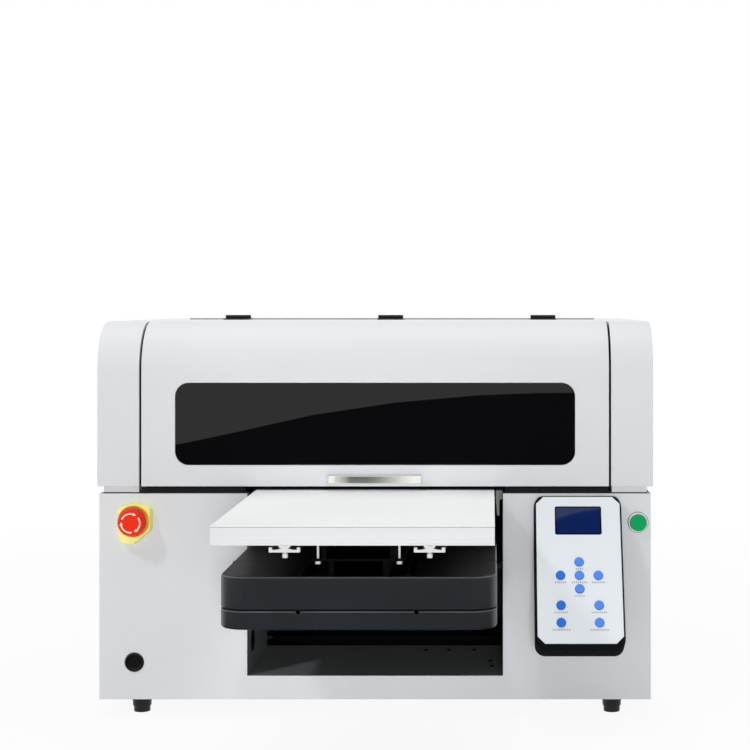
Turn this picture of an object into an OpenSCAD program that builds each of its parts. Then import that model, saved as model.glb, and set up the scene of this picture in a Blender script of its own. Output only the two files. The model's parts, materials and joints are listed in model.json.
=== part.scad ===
// Desktop flatbed UV printer: a sheet-metal cabinet with a hinged hood, a table that slides out on a lift
// beam, and a print carriage on a gantry inside. Millimetres, Z up, the front looks along -Y, and the origin
// is on the floor at the middle of the overall outline.

/* [Cabinet] */
// Width of the lower cabinet
body_w = 772; // [760:1:790]
// Depth of the cabinet and the hood
body_d = 620; // [610:1:680]
// Height of the lower cabinet's top edge above the floor
cabinet_h = 313; // [300:1:340]
// Thickness of the sheet metal
sheet_t = 2; // [1.5:0.1:3]
// Width of the flange folded in along the cabinet's top edges
flange_w = 60; // [58:1:80]
// Thickness of the deck plate on top of the lower cabinet
deck_t = 3; // [2:0.5:4]
// How far the deck's front sill is set back from the front face
sill_set = 6; // [4:1:10]
// Width of the rear flange and the strip of deck on it
rear_strip = 14; // [10:1:15]
// Height of the mains inlet above the floor
inlet_z = 90; // [60:1:140]
// How far the mains inlet's flange stands out at the rear
inlet_proud = 2; // [1:0.5:4]
// Height of the feet
foot_h = 25; // [15:1:32]
// Diameter of a foot at its top
foot_d = 30; // [24:1:40]
// Diameter of a foot at the floor
foot_tip_d = 23; // [18:1:30]
// Number of steps down the side of a foot
foot_steps = 3; // [2:1:5]
// Distance of a foot from the side of the cabinet
foot_side = 52; // [36:1:100]
// Distance of a foot from the front or the rear face
foot_inset = 40; // [25:1:80]

/* [Bay] */
// Width of the U-shaped opening in the front panel
bay_w = 358; // [350:1:370]
// Depth of the bay behind the front panel
bay_d = 215; // [150:1:220]
// Room left between the lowered beam and the bay floor
bay_clear = 14; // [6:1:20]
// Diameter of the cable hole in the bay's left wall
bay_hole_d = 28; // [10:1:40]
// Distance of that hole from the front face
bay_hole_y = 53; // [30:1:120]
// Height of that hole above the bay floor
bay_hole_up = 40; // [25:1:100]

/* [Hood] */
// How far the hood stands out past each side of the cabinet
hood_over = 3; // [2:0.5:10]
// Height of the hood from its lower edge
hood_h = 230.5; // [215:0.5:260]
// Radius of the hood's rounded front top edge
hood_round = 68; // [40:1:80]
// Height of the recessed neck between the cabinet and the hood
neck_h = 10; // [8:1:16]
// How far the neck is set in from the hood's faces
neck_inset = 8; // [5:1:12]
// Width of a fixed cheek
cheek_w = 58.5; // [55:0.5:65]
// Gap between the lid and a cheek
lid_gap = 3; // [2:0.5:5]
// Distance of the hinge line from the front face
hinge_y = 370; // [340:1:390]
// Width of one hinge
hinge_w = 40; // [30:1:60]
// Distance between neighbouring hinges
hinge_pitch = 246; // [180:1:270]
// Diameter of a hinge pin
pin_d = 3.5; // [2.5:0.1:4]
// Diameter of a hinge knuckle
knuckle_d = 7.5; // [5.5:0.1:8]
// Length of a hinge leaf
leaf_l = 24; // [15:1:35]

/* [Lid] */
// Width of the window
window_w = 560; // [400:1:600]
// Height of the window
window_h = 115; // [80:1:125]
// Height of the window's lower edge above the lid's lower edge
window_up = 30; // [28:1:32]
// Corner radius of the window
window_r = 19; // [8:1:30]
// Thickness of the glazing behind the lid's sheet
glass_t = 3; // [2:0.5:5]
// How far the glazing laps behind the sheet
glass_lap = 6; // [4:0.5:8]
// Length of the bow handle
handle_l = 135; // [100:1:180]
// How far the handle stands out
handle_out = 26; // [20:1:40]
// Height of the handle's flat strip
handle_h = 13; // [10:1:16]
// Thickness of the handle's strip
handle_t = 5; // [3:0.5:7]
// Height of the handle's middle above the lid's lower edge
handle_up = 12; // [9:1:18]

/* [Table] */
// Width of the table
table_w = 334; // [320:1:346]
// Length of the table
table_l = 450; // [420:1:450]
// Thickness of the table with its top sheet
table_t = 23; // [20:1:28]
// Thickness of the white top sheet
top_sheet_t = 1; // [1:0.5:4]
// How far the table's front edge stands out of the cabinet
table_out = 391; // [380:1:410]
// Gap between the table and the hood's lower edge
table_gap = 5; // [3:0.5:8]
// Distance of a support profile from the table's middle
profile_x = 88; // [85:1:120]
// Width of a support profile
profile_w = 38; // [30:1:44]
// Height of a support profile
profile_h = 18; // [16:1:24]
// Distance of a profile's front end behind the table's front edge
profile_set = 69; // [40:1:90]
// Width of the saddle under the table
saddle_w = 112; // [110:1:116]
// Length of the saddle
saddle_l = 200; // [180:1:220]
// Distance of the saddle's front behind the front end of the beam's trough
saddle_set = 11; // [8:1:20]
// Drop of the saddle's plate below the table
saddle_drop = 32; // [28:1:34]

/* [Lift beam] */
// Width of the beam
beam_w = 340; // [320:1:346]
// Length of the beam
beam_l = 874; // [870:1:890]
// How far the beam stands out of the cabinet
beam_out = 319; // [315:1:330]
// Distance of the joint across the beam's deck behind its front
deck_joint = 129; // [60:1:200]
// Radius of the beam's front corners seen from above
beam_r = 32; // [20:1:60]
// Gap between the table and the beam's top
beam_gap = 48; // [46:1:52]
// Height of the beam's upper cover
cover_h = 42; // [40:1:50]
// Height of the beam's lower tray
tray_h = 23; // [18:1:30]
// Wall of the two beam shells
shell_t = 3; // [2.5:0.5:4]
// Width of the trough along the beam
trough_w = 140; // [136:1:160]
// Depth of the trough
trough_depth = 36; // [35:0.5:37]
// Width of the cable notches in the seam
notch_w = 5; // [3:0.5:8]

/* [Table drive] */
// Distance of a rail from the beam's middle
rail_x = 40; // [38:1:46]
// Width of a linear rail
rail_w = 12; // [9:1:15]
// Height of a linear rail
rail_h = 10; // [8:1:12]
// Length of a linear rail
rail_l = 775; // [770:1:780]
// Width of a slide block
block_w = 34; // [28:1:36]
// Length of a slide block
block_l = 50; // [40:1:60]
// Height of a slide block's top above the trough floor
block_h = 28; // [27.5:0.5:30]
// Diameter of the ball screw
screw_d = 12; // [8:0.5:12]
// Width and height of a stepper motor's frame
motor_w = 42; // [40:1:44]
// Length of a stepper motor
motor_l = 40; // [30:1:48]

/* [Lift] */
// How far the beam can be lowered
lift_travel = 110; // [60:1:112]
// Distance of the lift's middle from the front face
lift_y = 350; // [345:1:360]
// Distance of the guide rods and lift screws from the middle, across
rod_x = 205; // [203:1:210]
// Distance between the front and the rear guide rods
rod_pitch = 180; // [140:1:190]
// Diameter of a guide rod
rod_d = 16; // [12:1:20]
// Diameter of a lift screw
lift_screw_d = 14; // [12:1:18]
// Diameter of a lift screw's belt pulley
lift_pulley_d = 36; // [28:1:40]
// Width of the lift belt
lift_belt_w = 9; // [6:1:10]
// Width of the lift plate
lift_plate_w = 470; // [460:1:480]
// Length of the lift plate
lift_plate_l = 230; // [225:1:240]
// Thickness of the lift plate
lift_plate_t = 10; // [8:1:14]

/* [Gantry] */
// Gap between an end of the gantry beam and the cheek beside it
gantry_gap = 12.5; // [10:0.5:16]
// Depth of the gantry beam
gantry_d = 50; // [40:1:56]
// Height of the gantry beam
gantry_h = 75; // [74:1:85]
// Distance of the gantry beam's front from the front face
gantry_y = 215; // [205:1:230]
// Height of the gantry beam's underside above the deck
gantry_up = 34; // [32:1:40]
// Distance of the gantry rail's end from the gantry beam's end
x_rail_set = 18; // [8:1:20]
// Distance of a belt pulley's axle from the gantry beam's end
pulley_set = 22; // [20:1:24]
// Radius of a belt pulley's track
pulley_r = 8; // [6:0.5:9]
// Width of the print carriage
carriage_w = 104; // [90:1:110]
// Depth of the print carriage
carriage_d = 74; // [70:1:90]
// Gap between the parked carriage and the right cheek
carriage_gap = 35.5; // [32:0.5:38]
// Height of the print heads above the table
head_gap = 6; // [3:0.5:8]
// Width of the UV lamp beside the carriage
lamp_w = 34; // [28:1:40]

/* [Console] */
// Distance of the console's middle from the cabinet's right side
console_side = 103; // [98:1:112]
// Tilt of the console's face from upright
console_tilt = 26.5; // [20:0.5:30]
// Width of the faceplate
face_w = 116; // [100:1:120]
// Length of the faceplate
face_l = 208; // [200:1:220]
// Cut corners of the faceplate
face_cut = 10; // [4:1:14]
// Border of the housing round the faceplate
console_rim = 3; // [2:0.5:5]
// Depth of the console's housing
console_depth = 42; // [36:1:46]
// Distance of the faceplate's top edge in front of the panel
console_out = 9; // [6:1:14]
// Drop of the faceplate's top edge below the cabinet's top
console_drop = 4; // [2:1:10]
// Width of the display
lcd_w = 63; // [50:1:70]
// Height of the display
lcd_h = 39.6; // [30:0.1:44]
// Distance of the display's middle below the faceplate's top edge
lcd_down = 34.5; // [32:0.5:40]
// Diameter of a key
key_d = 12.2; // [10:0.1:14]
// Height of a key above the faceplate
key_proud = 2; // [1.5:0.1:3]
// Distance of the side keys from the middle column
key_side = 25.8; // [20:0.1:32]
// Distance of the middle key below the faceplate's top edge
key_mid = 113; // [105:1:116]
// Step from the middle key to the keys above and below it
key_step = 19; // [17:0.5:21]
// Distance of the lower keys below the faceplate's top edge
key_low = 155; // [152:1:160]
// Distance of the bottom keys below the faceplate's top edge
key_bottom = 179; // [176:1:186]

/* [Buttons] */
// Distance of the emergency stop from the cabinet's left side
estop_side = 51; // [36:1:66]
// Drop of the emergency stop below the cabinet's top
estop_drop = 37; // [36:1:60]
// Diameter of the emergency stop's head
estop_d = 39; // [34:1:40]
// How far the emergency stop's head stands out
estop_out = 36; // [34:1:44]
// How far the yellow guard stands out
guard_out = 15; // [12:1:22]
// Width of the yellow guard
guard_w = 49; // [48:1:54]
// Height of the yellow guard
guard_h = 60; // [56:1:64]
// Distance of the start button from the cabinet's right side
start_side = 18; // [17:1:20]
// Drop of the start button below the cabinet's top
start_drop = 40; // [30:1:60]
// Diameter of the start button's bezel
start_bezel_d = 28; // [26:1:30]
// Diameter of the start button's lens
start_lens_d = 23.4; // [22.4:0.1:24]
// How far the start button's lens stands out
start_out = 11; // [9:0.5:14]
// Diameter of a panel hole for a push button
button_hole_d = 22.3; // [22:0.1:22.5]
// Diameter of the hole plug
plug_d = 28; // [20:1:34]
// How far the rim of the hole plug stands out
plug_out = 3; // [2:0.5:5]
// Depth of the dish in the hole plug
plug_dish = 1.8; // [0.4:0.2:1.8]
// Distance of the hole plug from the cabinet's left side
plug_side = 49; // [36:1:66]
// Height of the hole plug above the floor
plug_z = 77; // [60:1:120]

/* [Fits] */
// Radial clearance of turning and sliding fits
run_gap = 0.05; // [0.03:0.01:0.09]
// Clearance between parts that pass each other
free_gap = 0.5; // [0.4:0.1:1]

/* [Hidden] */
$fn = 64;

// Heights and depths that follow from the sizes above; y is counted from the front face
front_y = (table_out - body_d - inlet_proud) / 2;
base_top = foot_h + sheet_t;
deck_z = cabinet_h + deck_t;
hood_z = cabinet_h + neck_h;
hood_top = hood_z + hood_h;
hood_w = body_w + 2 * hood_over;
cheek_in = hood_w / 2 - cheek_w;
lid_half = cheek_in - lid_gap;
pin_z = hood_top + knuckle_d / 2;
lid_end = hinge_y - knuckle_d / 2;
rear_start = hinge_y + knuckle_d / 2;
deck_gap_half = bay_w / 2 + sheet_t + 1;
deck_gap_end = body_d - sheet_t - rear_strip;
front_flange = 20;
hood_lip = 8;

table_top = hood_z - table_gap;
table_z = table_top - table_t;
beam_top = table_z - beam_gap;
seam_z = beam_top - cover_h;
beam_z = seam_z - tray_h;
beam_end = beam_l - beam_out;
trough_z = beam_top - trough_depth;
trough_set = 8;
bay_floor_z = beam_z - lift_travel - bay_clear;
lift_plate_z = beam_z - lift_plate_t;

rail_start = trough_set + 6 - beam_out;
rail_end = rail_start + rail_l;
support_t = 12;
screw_z = trough_z + motor_w / 2;
screw_journal_r = 4;
block_top = trough_z + block_h;
saddle_start = trough_set + saddle_set - beam_out;
saddle_plate_z = table_z - saddle_drop;
level_screw_x = saddle_w / 2 - 6;
level_screw_r = 1.5;

lift_journal_r = 5;
lift_pulley_z = base_top + 4;
lift_flange_t = 1.5;
lift_track = lift_belt_w + 0.6;
rod_boss_h = 10;

gantry_l = 2 * (cheek_in - gantry_gap);
gantry_z = deck_z + gantry_up;
x_rail_l = gantry_l - 2 * x_rail_set;
pulley_x = gantry_l / 2 - pulley_set;
carriage_x = cheek_in - carriage_gap - carriage_w / 2;
x_rail_d = 12;
x_rail_h = 15;
x_rail_z = gantry_z + 22;
pulley_z = gantry_z + 56;
belt_back = gantry_y - 18;
belt_front = gantry_y - 24;
belt_t = 1.3;
shaft_r = 2.5;
carriage_back = belt_front - 2;
carriage_plate_t = 6;
head_z = table_top + head_gap;
head_h = 14;
carriage_z = head_z + head_h;

console_x = body_w / 2 - console_side;
face_t = 2;
face_recess = 1;
key_flange = 1.1;
KEYS = [
  [0, key_mid - key_step], [-key_side, key_mid], [0, key_mid], [key_side, key_mid], [0, key_mid + key_step],
  [-key_side, key_low], [key_side, key_low], [-key_side, key_bottom], [key_side, key_bottom]
];
estop_x = body_w / 2 - estop_side;
estop_z = cabinet_h - estop_drop;
estop_stem_r = 8;
estop_post_r = 6;
estop_well_z = 5;
estop_head_z = estop_well_z + 7;
start_x = body_w / 2 - start_side;
start_z = cabinet_h - start_drop;
start_stem_r = 7;
plug_x = body_w / 2 - plug_side;

// Placing helpers: x across, y from the front face into the machine, z from the floor
module box(x, y, z)
  translate([x[0], front_y + y[0], z[0]]) cube([x[1] - x[0], y[1] - y[0], z[1] - z[0]]);

module pillar(x, y, z, r)
  translate([x, front_y + y, z[0]]) cylinder(h = z[1] - z[0], r = r);

module plan(z)
  translate([0, front_y, z[0]]) linear_extrude(z[1] - z[0]) children();

module along_x(x)
  translate([x[0], front_y, 0]) rotate([90, 0, 90]) linear_extrude(x[1] - x[0]) children();

module along_y(y)
  translate([0, front_y + y[1], 0]) rotate([90, 0, 0]) linear_extrude(y[1] - y[0]) children();

module bar_y(x, z, y, r)
  translate([x, front_y + y[1], z]) rotate([90, 0, 0]) cylinder(h = y[1] - y[0], r = r);

module bar_x(x, y, z, r)
  translate([x[0], front_y + y, z]) rotate([0, 90, 0]) cylinder(h = x[1] - x[0], r = r);

module at_front(x, z)
  translate([x, front_y, z]) rotate([90, 0, 0]) children();

module on_console()
  translate([console_x, front_y - console_out, cabinet_h - console_drop])
    rotate([90 - console_tilt, 0, 0]) children();

module both_sides() {
  children();
  mirror([1, 0, 0]) children();
}

// Flat outlines
module span(x, y)
  translate([x[0], y[0]]) square([x[1] - x[0], y[1] - y[0]]);

module rounded_rect(w, h, r) {
  square([w, h - 2 * r], center = true);
  square([w - 2 * r, h], center = true);
  for (x = [-1, 1], y = [-1, 1])
    translate([x * (w / 2 - r), y * (h / 2 - r)]) circle(r);
}

module cut_rect(w, h, cut)
  polygon([
    [cut - w / 2, -h / 2], [w / 2 - cut, -h / 2], [w / 2, cut - h / 2], [w / 2, h / 2 - cut],
    [w / 2 - cut, h / 2], [cut - w / 2, h / 2], [-w / 2, h / 2 - cut], [-w / 2, cut - h / 2]
  ]);

// Side view of the hood: a box whose front top edge is a quarter round
module hood_outline(length, height, r) {
  square([length, height - r]);
  translate([r, 0]) square([length - r, height]);
  translate([r, height - r]) circle(r);
}

// Loop of a belt round two pulleys that lie d either side of the middle
module belt_loop(d, r) {
  for (x = [-d, d]) translate([x, 0]) circle(r);
  square([2 * d, 2 * r], center = true);
}

// Beam seen from above, with round front corners, set in by a wall
module beam_plan(inset) {
  half = beam_w / 2 - inset;
  front = inset - beam_out;
  r = beam_r - inset;
  span([-half, half], [front + r, beam_end - inset]);
  span([r - half, half - r], [front, front + r + 1]);
  for (x = [-1, 1]) translate([x * (half - r), front + r]) circle(r);
}

// Square motor frame with cut corners
module motor_outline()
  cut_rect(motor_w, motor_w, 4);

// Lower cabinet

module base_pan() color("dimgray") {
  difference() {
    union() {
      box([sheet_t - body_w / 2, body_w / 2 - sheet_t], [sheet_t, body_d - sheet_t], [foot_h, base_top]);
      for (x = [-rod_x, rod_x]) {
        pillar(x, lift_y, [foot_h, lift_pulley_z - 1], lift_journal_r + 7);
        for (y = [-1, 1])
          pillar(x, lift_y + y * rod_pitch / 2, [foot_h, base_top + rod_boss_h], rod_d / 2 + 6);
      }
    }
    for (x = [-rod_x, rod_x]) {
      pillar(x, lift_y, [base_top, lift_pulley_z], lift_journal_r + run_gap);
      for (y = [-1, 1])
        pillar(x, lift_y + y * rod_pitch / 2, [base_top, base_top + rod_boss_h + 1], rod_d / 2 + run_gap);
    }
  }
}

// Half of a foot in side view: drafted steps, each a little wider than the one below
foot_draft = 0.4;
foot_step = (foot_d / 2 - foot_draft - foot_tip_d / 2) / (foot_steps - 1);
foot_profile = [
  [0, 0],
  for (k = [0 : foot_steps - 1]) for (end = [0, 1])
    [foot_tip_d / 2 + k * foot_step + end * foot_draft, (k + end) * foot_h / foot_steps],
  [0, foot_h]
];

module feet() color("black")
  for (x = [foot_side - body_w / 2, body_w / 2 - foot_side], y = [foot_inset, body_d - foot_inset])
    translate([x, front_y + y, 0]) rotate_extrude() polygon(foot_profile);

module front_panel() color("gainsboro")
  difference() {
    union() {
      box([-body_w / 2, body_w / 2], [0, sheet_t], [foot_h, cabinet_h]);
      both_sides()
        box([bay_w / 2, body_w / 2 - sheet_t], [sheet_t, front_flange], [cabinet_h - sheet_t, cabinet_h]);
    }
    box([-bay_w / 2, bay_w / 2], [-1, sheet_t + 1], [bay_floor_z, cabinet_h + 1]);
    bar_y(-estop_x, estop_z, [-1, sheet_t + 1], button_hole_d / 2);
    bar_y(start_x, start_z, [-1, sheet_t + 1], button_hole_d / 2);
    bar_y(-plug_x, plug_z, [-1, sheet_t + 1], plug_d / 2 - 2);
  }

vent_count = 7;
vent_pitch = 14;
vent_l = 90;
vent_w = 5;
vent_side = 126;
vent_x = vent_side - body_w / 2;
inlet_side = 86;
inlet_x = body_w / 2 - inlet_side;
inlet_w = 28;
inlet_h = 21;
inlet_flange_w = 50;
inlet_flange_h = 30;

module cabinet_wrap() color("gainsboro")
  difference() {
    union() {
      both_sides() {
        box([body_w / 2 - sheet_t, body_w / 2], [sheet_t, body_d], [foot_h, cabinet_h]);
        box([body_w / 2 - flange_w, body_w / 2], [front_flange, body_d], [cabinet_h - sheet_t, cabinet_h]);
      }
      box([-body_w / 2, body_w / 2], [body_d - sheet_t, body_d], [foot_h, cabinet_h]);
      box([-body_w / 2, body_w / 2], [deck_gap_end, body_d], [cabinet_h - sheet_t, cabinet_h]);
    }
    box([inlet_x - inlet_w / 2, inlet_x + inlet_w / 2], [body_d - sheet_t - 1, body_d + 1],
        [inlet_z - inlet_h / 2, inlet_z + inlet_h / 2]);
    for (i = [0 : vent_count - 1])
      along_y([body_d - sheet_t - 1, body_d + 1])
        translate([vent_x, inlet_z + i * vent_pitch]) rounded_rect(vent_l, vent_w, vent_w / 2 - 0.1);
  }

module bay_liner() color("black")
  difference() {
    union() {
      box([-bay_w / 2 - sheet_t, bay_w / 2 + sheet_t], [sheet_t, bay_d],
          [bay_floor_z - sheet_t, bay_floor_z]);
      both_sides()
        box([bay_w / 2, bay_w / 2 + sheet_t], [sheet_t, bay_d], [bay_floor_z, cabinet_h - sheet_t]);
    }
    bar_x([-bay_w / 2 - sheet_t - 1, 1 - bay_w / 2], bay_hole_y, bay_floor_z + bay_hole_up, bay_hole_d / 2);
  }

module deck_frame() color("black")
  difference() {
    union() {
      box([-cheek_in, cheek_in], [sill_set, body_d - sheet_t - 1], [cabinet_h, deck_z]);
      box([-lid_half, lid_half], [sill_set, sill_set + sheet_t], [deck_z, hood_z - 2]);
    }
    box([-deck_gap_half, deck_gap_half], [sill_set - 1, deck_gap_end], [cabinet_h - 1, hood_z]);
    for (x = [-rod_x, rod_x])
      pillar(x, lift_y, [cabinet_h - 1, deck_z + 1], lift_journal_r + run_gap);
  }

module hole_plug() color("black") {
  slope = 2;
  rim_w = 2;
  dish_r = plug_d / 2 - slope - rim_w;
  at_front(-plug_x, plug_z) difference() {
    cylinder(h = plug_out, r1 = plug_d / 2, r2 = plug_d / 2 - slope);
    translate([0, 0, plug_out - plug_dish])
      cylinder(h = plug_dish + 0.01, r1 = dish_r - plug_dish / 2, r2 = dish_r);
  }
  bar_y(-plug_x, plug_z, [0, 8], plug_d / 2 - 2.2);
}

board_tray_wall = 3;
board_tray_l = 310;
board_tray_h = 150;
board_tray_side = 4;
board_tray_rear = 60;
board_tray_room = 15;

module electronics_box() color("silver") {
  wall = board_tray_wall;
  x0 = sheet_t + board_tray_side - body_w / 2;
  x1 = -lift_plate_w / 2 - board_tray_room;
  y1 = body_d - board_tray_rear;
  y0 = y1 - board_tray_l;
  difference() {
    box([x0, x1], [y0, y1], [base_top, base_top + board_tray_h]);
    box([x0 + wall, x1 - wall], [y0 + wall, y1 - wall], [base_top + wall, base_top + board_tray_h + 1]);
  }
}

module mains_inlet() color("black") {
  wall = 2;
  translate([inlet_x, front_y + body_d, inlet_z]) rotate([-90, 0, 0]) {
    difference() {
      union() {
        linear_extrude(inlet_proud) rounded_rect(inlet_flange_w, inlet_flange_h, 4);
        translate([0, 0, -22]) linear_extrude(22) square([inlet_w - 1, inlet_h - 1], center = true);
      }
      translate([0, 0, -18])
        linear_extrude(inlet_proud + 20) cut_rect(inlet_w - 1 - 2 * wall, inlet_h - 1 - 2 * wall, 3);
    }
    for (p = [[-7, 0], [0, 4], [7, 0]])
      translate([p[0] - 1, p[1] - 2, -19]) cube([2, 4, 13]);
  }
}

// Hood and lid

module hood_cheeks() color("gainsboro") both_sides()
  difference() {
    union() {
      along_x([cheek_in, hood_w / 2])
        translate([0, hood_z]) hood_outline(body_d, hood_h, hood_round);
      box([cheek_in + 1, hood_w / 2 - neck_inset], [sill_set, body_d - sill_set], [cabinet_h, hood_z + 1]);
    }
    along_x([cheek_in + sheet_t, hood_w / 2 - sheet_t])
      translate([sheet_t, hood_z + sheet_t])
        hood_outline(body_d - 2 * sheet_t, hood_h - 2 * sheet_t, hood_round - sheet_t);
    box([cheek_in + 5, hood_w / 2 - neck_inset - 4], [sill_set + 4, body_d - sill_set - 4],
        [cabinet_h - 1, hood_z + sheet_t + 1]);
  }

module rear_hood() color("gainsboro") {
  half = cheek_in - 0.5;
  box([-half, half], [rear_start, body_d], [hood_top - sheet_t, hood_top]);
  box([-half, half], [rear_start, rear_start + sheet_t], [hood_top - hood_lip, hood_top]);
  box([-half, half], [body_d - sheet_t, body_d], [cabinet_h, hood_top]);
  both_sides()
    box([half - sheet_t, half], [rear_start, body_d], [hood_top - hood_lip, hood_top]);
}

module lid_skin(depth)
  difference() {
    hood_outline(lid_end, hood_h, hood_round);
    translate([depth, -1]) hood_outline(lid_end, hood_h + 1 - depth, hood_round - depth);
  }

module lid_shell() color("gainsboro")
  difference() {
    union() {
      along_x([-lid_half, lid_half]) translate([0, hood_z]) lid_skin(sheet_t);
      both_sides()
        along_x([lid_half - sheet_t, lid_half]) translate([0, hood_z]) lid_skin(hood_lip);
      box([-lid_half, lid_half], [0, hood_lip], [hood_z, hood_z + sheet_t]);
      box([-lid_half, lid_half], [lid_end - sheet_t, lid_end], [hood_top - hood_lip, hood_top]);
    }
    at_front(0, hood_z + window_up + window_h / 2)
      translate([0, 0, -sheet_t - 1]) linear_extrude(sheet_t + 2) rounded_rect(window_w, window_h, window_r);
  }

module lid_window() color("black")
  at_front(0, hood_z + window_up + window_h / 2) {
    fit = 0.2;
    translate([0, 0, -sheet_t - 0.5]) linear_extrude(sheet_t + 0.5)
      rounded_rect(window_w - 2 * fit, window_h - 2 * fit, window_r - fit);
    translate([0, 0, -sheet_t - glass_t]) linear_extrude(glass_t)
      rounded_rect(window_w + 2 * glass_lap, window_h + 2 * glass_lap, window_r + glass_lap);
  }

module lid_handle() color("silver") {
  arc_r = (handle_l * handle_l / 4 + handle_out * handle_out) / (2 * handle_out);
  low = hood_z + handle_up - handle_h / 2;
  plan([low, low + handle_h]) intersection() {
    translate([0, arc_r - handle_out]) difference() {
      circle(arc_r, $fn = 180);
      circle(arc_r - handle_t, $fn = 180);
    }
    span([-handle_l, handle_l], [-handle_out - 1, 0]);
  }
}

leaf_t = 2;
knuckle_gap = 0.3;

module hinge_fixed_leaves() color("black") for (i = [-1, 0, 1]) translate([i * hinge_pitch, 0, 0]) {
  third = hinge_w / 6;
  bar_x([-third, third], hinge_y, pin_z, knuckle_d / 2);
  bar_x([1 - hinge_w / 2, hinge_w / 2 - 1], hinge_y, pin_z, pin_d / 2);
  box([-third, third], [hinge_y, rear_start + 2], [hood_top, hood_top + leaf_t]);
  box([-hinge_w / 2, hinge_w / 2], [rear_start + 1, rear_start + leaf_l], [hood_top, hood_top + leaf_t]);
}

module hinge_moving_leaves() color("black") for (i = [-1, 0, 1]) translate([i * hinge_pitch, 0, 0])
  difference() {
    third = hinge_w / 6 + knuckle_gap;
    union() {
      both_sides() {
        bar_x([third, hinge_w / 2], hinge_y, pin_z, knuckle_d / 2);
        box([third, hinge_w / 2], [lid_end - 2, hinge_y], [hood_top, hood_top + leaf_t]);
      }
      box([-hinge_w / 2, hinge_w / 2], [lid_end - leaf_l, lid_end - 1], [hood_top, hood_top + leaf_t]);
    }
    bar_x([-hinge_w, hinge_w], hinge_y, pin_z, pin_d / 2 + run_gap);
  }

// Lift beam and table

reveal = 2;
notch_x = 72;
joint_w = 1;

module beam_cover() color("#2c2d31")
  difference() {
    union() {
      difference() {
        union() {
          plan([seam_z, seam_z + reveal]) beam_plan(1.5);
          plan([seam_z + reveal, beam_top]) beam_plan(0);
        }
        plan([seam_z - 1, beam_top - shell_t]) beam_plan(shell_t + 1.5);
      }
      box([-trough_w / 2 - shell_t, trough_w / 2 + shell_t], [trough_set - beam_out - 3, beam_end - 2],
          [trough_z - shell_t, beam_top]);
    }
    box([-trough_w / 2, trough_w / 2], [trough_set - beam_out, beam_end + 1], [trough_z, beam_top + 1]);
    box([-beam_w / 2 - 1, beam_w / 2 + 1], [deck_joint - beam_out, deck_joint + joint_w - beam_out],
        [beam_top - joint_w, beam_top + 1]);
  }

module beam_tray() color("#2c2d31")
  difference() {
    plan([beam_z, seam_z]) beam_plan(0);
    plan([beam_z + shell_t, seam_z + 1]) beam_plan(shell_t);
    for (x = [-notch_x, notch_x])
      box([x - notch_w / 2, x + notch_w / 2], [-beam_out - 1, shell_t + 1 - beam_out],
          [seam_z - 3, seam_z + 1]);
  }

module y_rails() color("silver") {
  groove = 1.5;
  both_sides() along_y([rail_start, rail_end]) difference() {
    span([rail_x - rail_w / 2, rail_x + rail_w / 2], [trough_z, trough_z + rail_h]);
    for (x = [rail_x - rail_w / 2, rail_x + rail_w / 2])
      span([x - groove, x + groove], [trough_z + rail_h * 0.45, trough_z + rail_h * 0.7]);
  }
  for (y = [rail_start, rail_end])
    difference() {
      box([-14, 14], [y, y + support_t], [trough_z, block_top - 1]);
      bar_y(0, screw_z, [y - 1, y + support_t + 1], screw_journal_r + run_gap);
    }
}

module y_screw() color("silver") {
  bar_y(0, screw_z, [rail_start + support_t + free_gap, rail_end - free_gap], screw_d / 2);
  bar_y(0, screw_z, [rail_start + 1, rail_end + support_t + 14], screw_journal_r);
}

module y_motor() color("black")
  difference() {
    along_y([rail_end + support_t, rail_end + support_t + motor_l])
      translate([0, screw_z]) motor_outline();
    bar_y(0, screw_z, [rail_end, rail_end + support_t + 15], screw_journal_r + run_gap);
  }

module table_slab() color("white")
  box([-table_w / 2, table_w / 2], [-table_out, table_l - table_out], [table_z, table_top - top_sheet_t]);

module table_sheet() color("white")
  box([-table_w / 2, table_w / 2], [-table_out, table_l - table_out], [table_top - top_sheet_t, table_top]);

// Half of a support profile in end view: a foot with a lip, a stem and a head slotted for the bolts
module profile_half() {
  foot_t = 3.2;
  lip_w = 4;
  lip_h = 6;
  stem_half = 4;
  head_half = 7;
  head_h = 11.5;
  foot_z = table_z - profile_h;
  polygon([
    [0, foot_z], [profile_w / 2, foot_z], [profile_w / 2, foot_z + lip_h],
    [profile_w / 2 - lip_w, foot_z + lip_h], [profile_w / 2 - lip_w, foot_z + foot_t],
    [head_half + 3, foot_z + foot_t],
    [stem_half, foot_z + lip_h - 1], [head_half, table_z - head_h], [head_half, table_z], [0, table_z]
  ]);
}

module table_profiles() color("silver") {
  bolt_r = 2;
  head_r = 3.4;
  head_h = 5.5;
  slot_half = 3.5;
  slot_depth = 10;
  foot_z = table_z - profile_h;
  start = profile_set - table_out;
  end = table_l - table_out - profile_set / 2;
  both_sides() {
    translate([profile_x, 0, 0]) along_y([start, end]) difference() {
      both_sides() profile_half();
      span([-slot_half, slot_half], [table_z - slot_depth, table_z + 1]);
    }
    for (y = [start + 8, (start + end) / 2, end - 8]) {
      pillar(profile_x, y, [foot_z - 2, foot_z], bolt_r);
      pillar(profile_x, y, [foot_z - 2 - head_h, foot_z - 2], head_r);
    }
    for (y = [saddle_start + 6, saddle_start + saddle_l - 6]) {
      pillar(level_screw_x, y, [saddle_plate_z - 4, table_z], level_screw_r);
      pillar(level_screw_x, y, [saddle_plate_z - 4, saddle_plate_z - 0.2], head_r);
    }
  }
}

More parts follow.
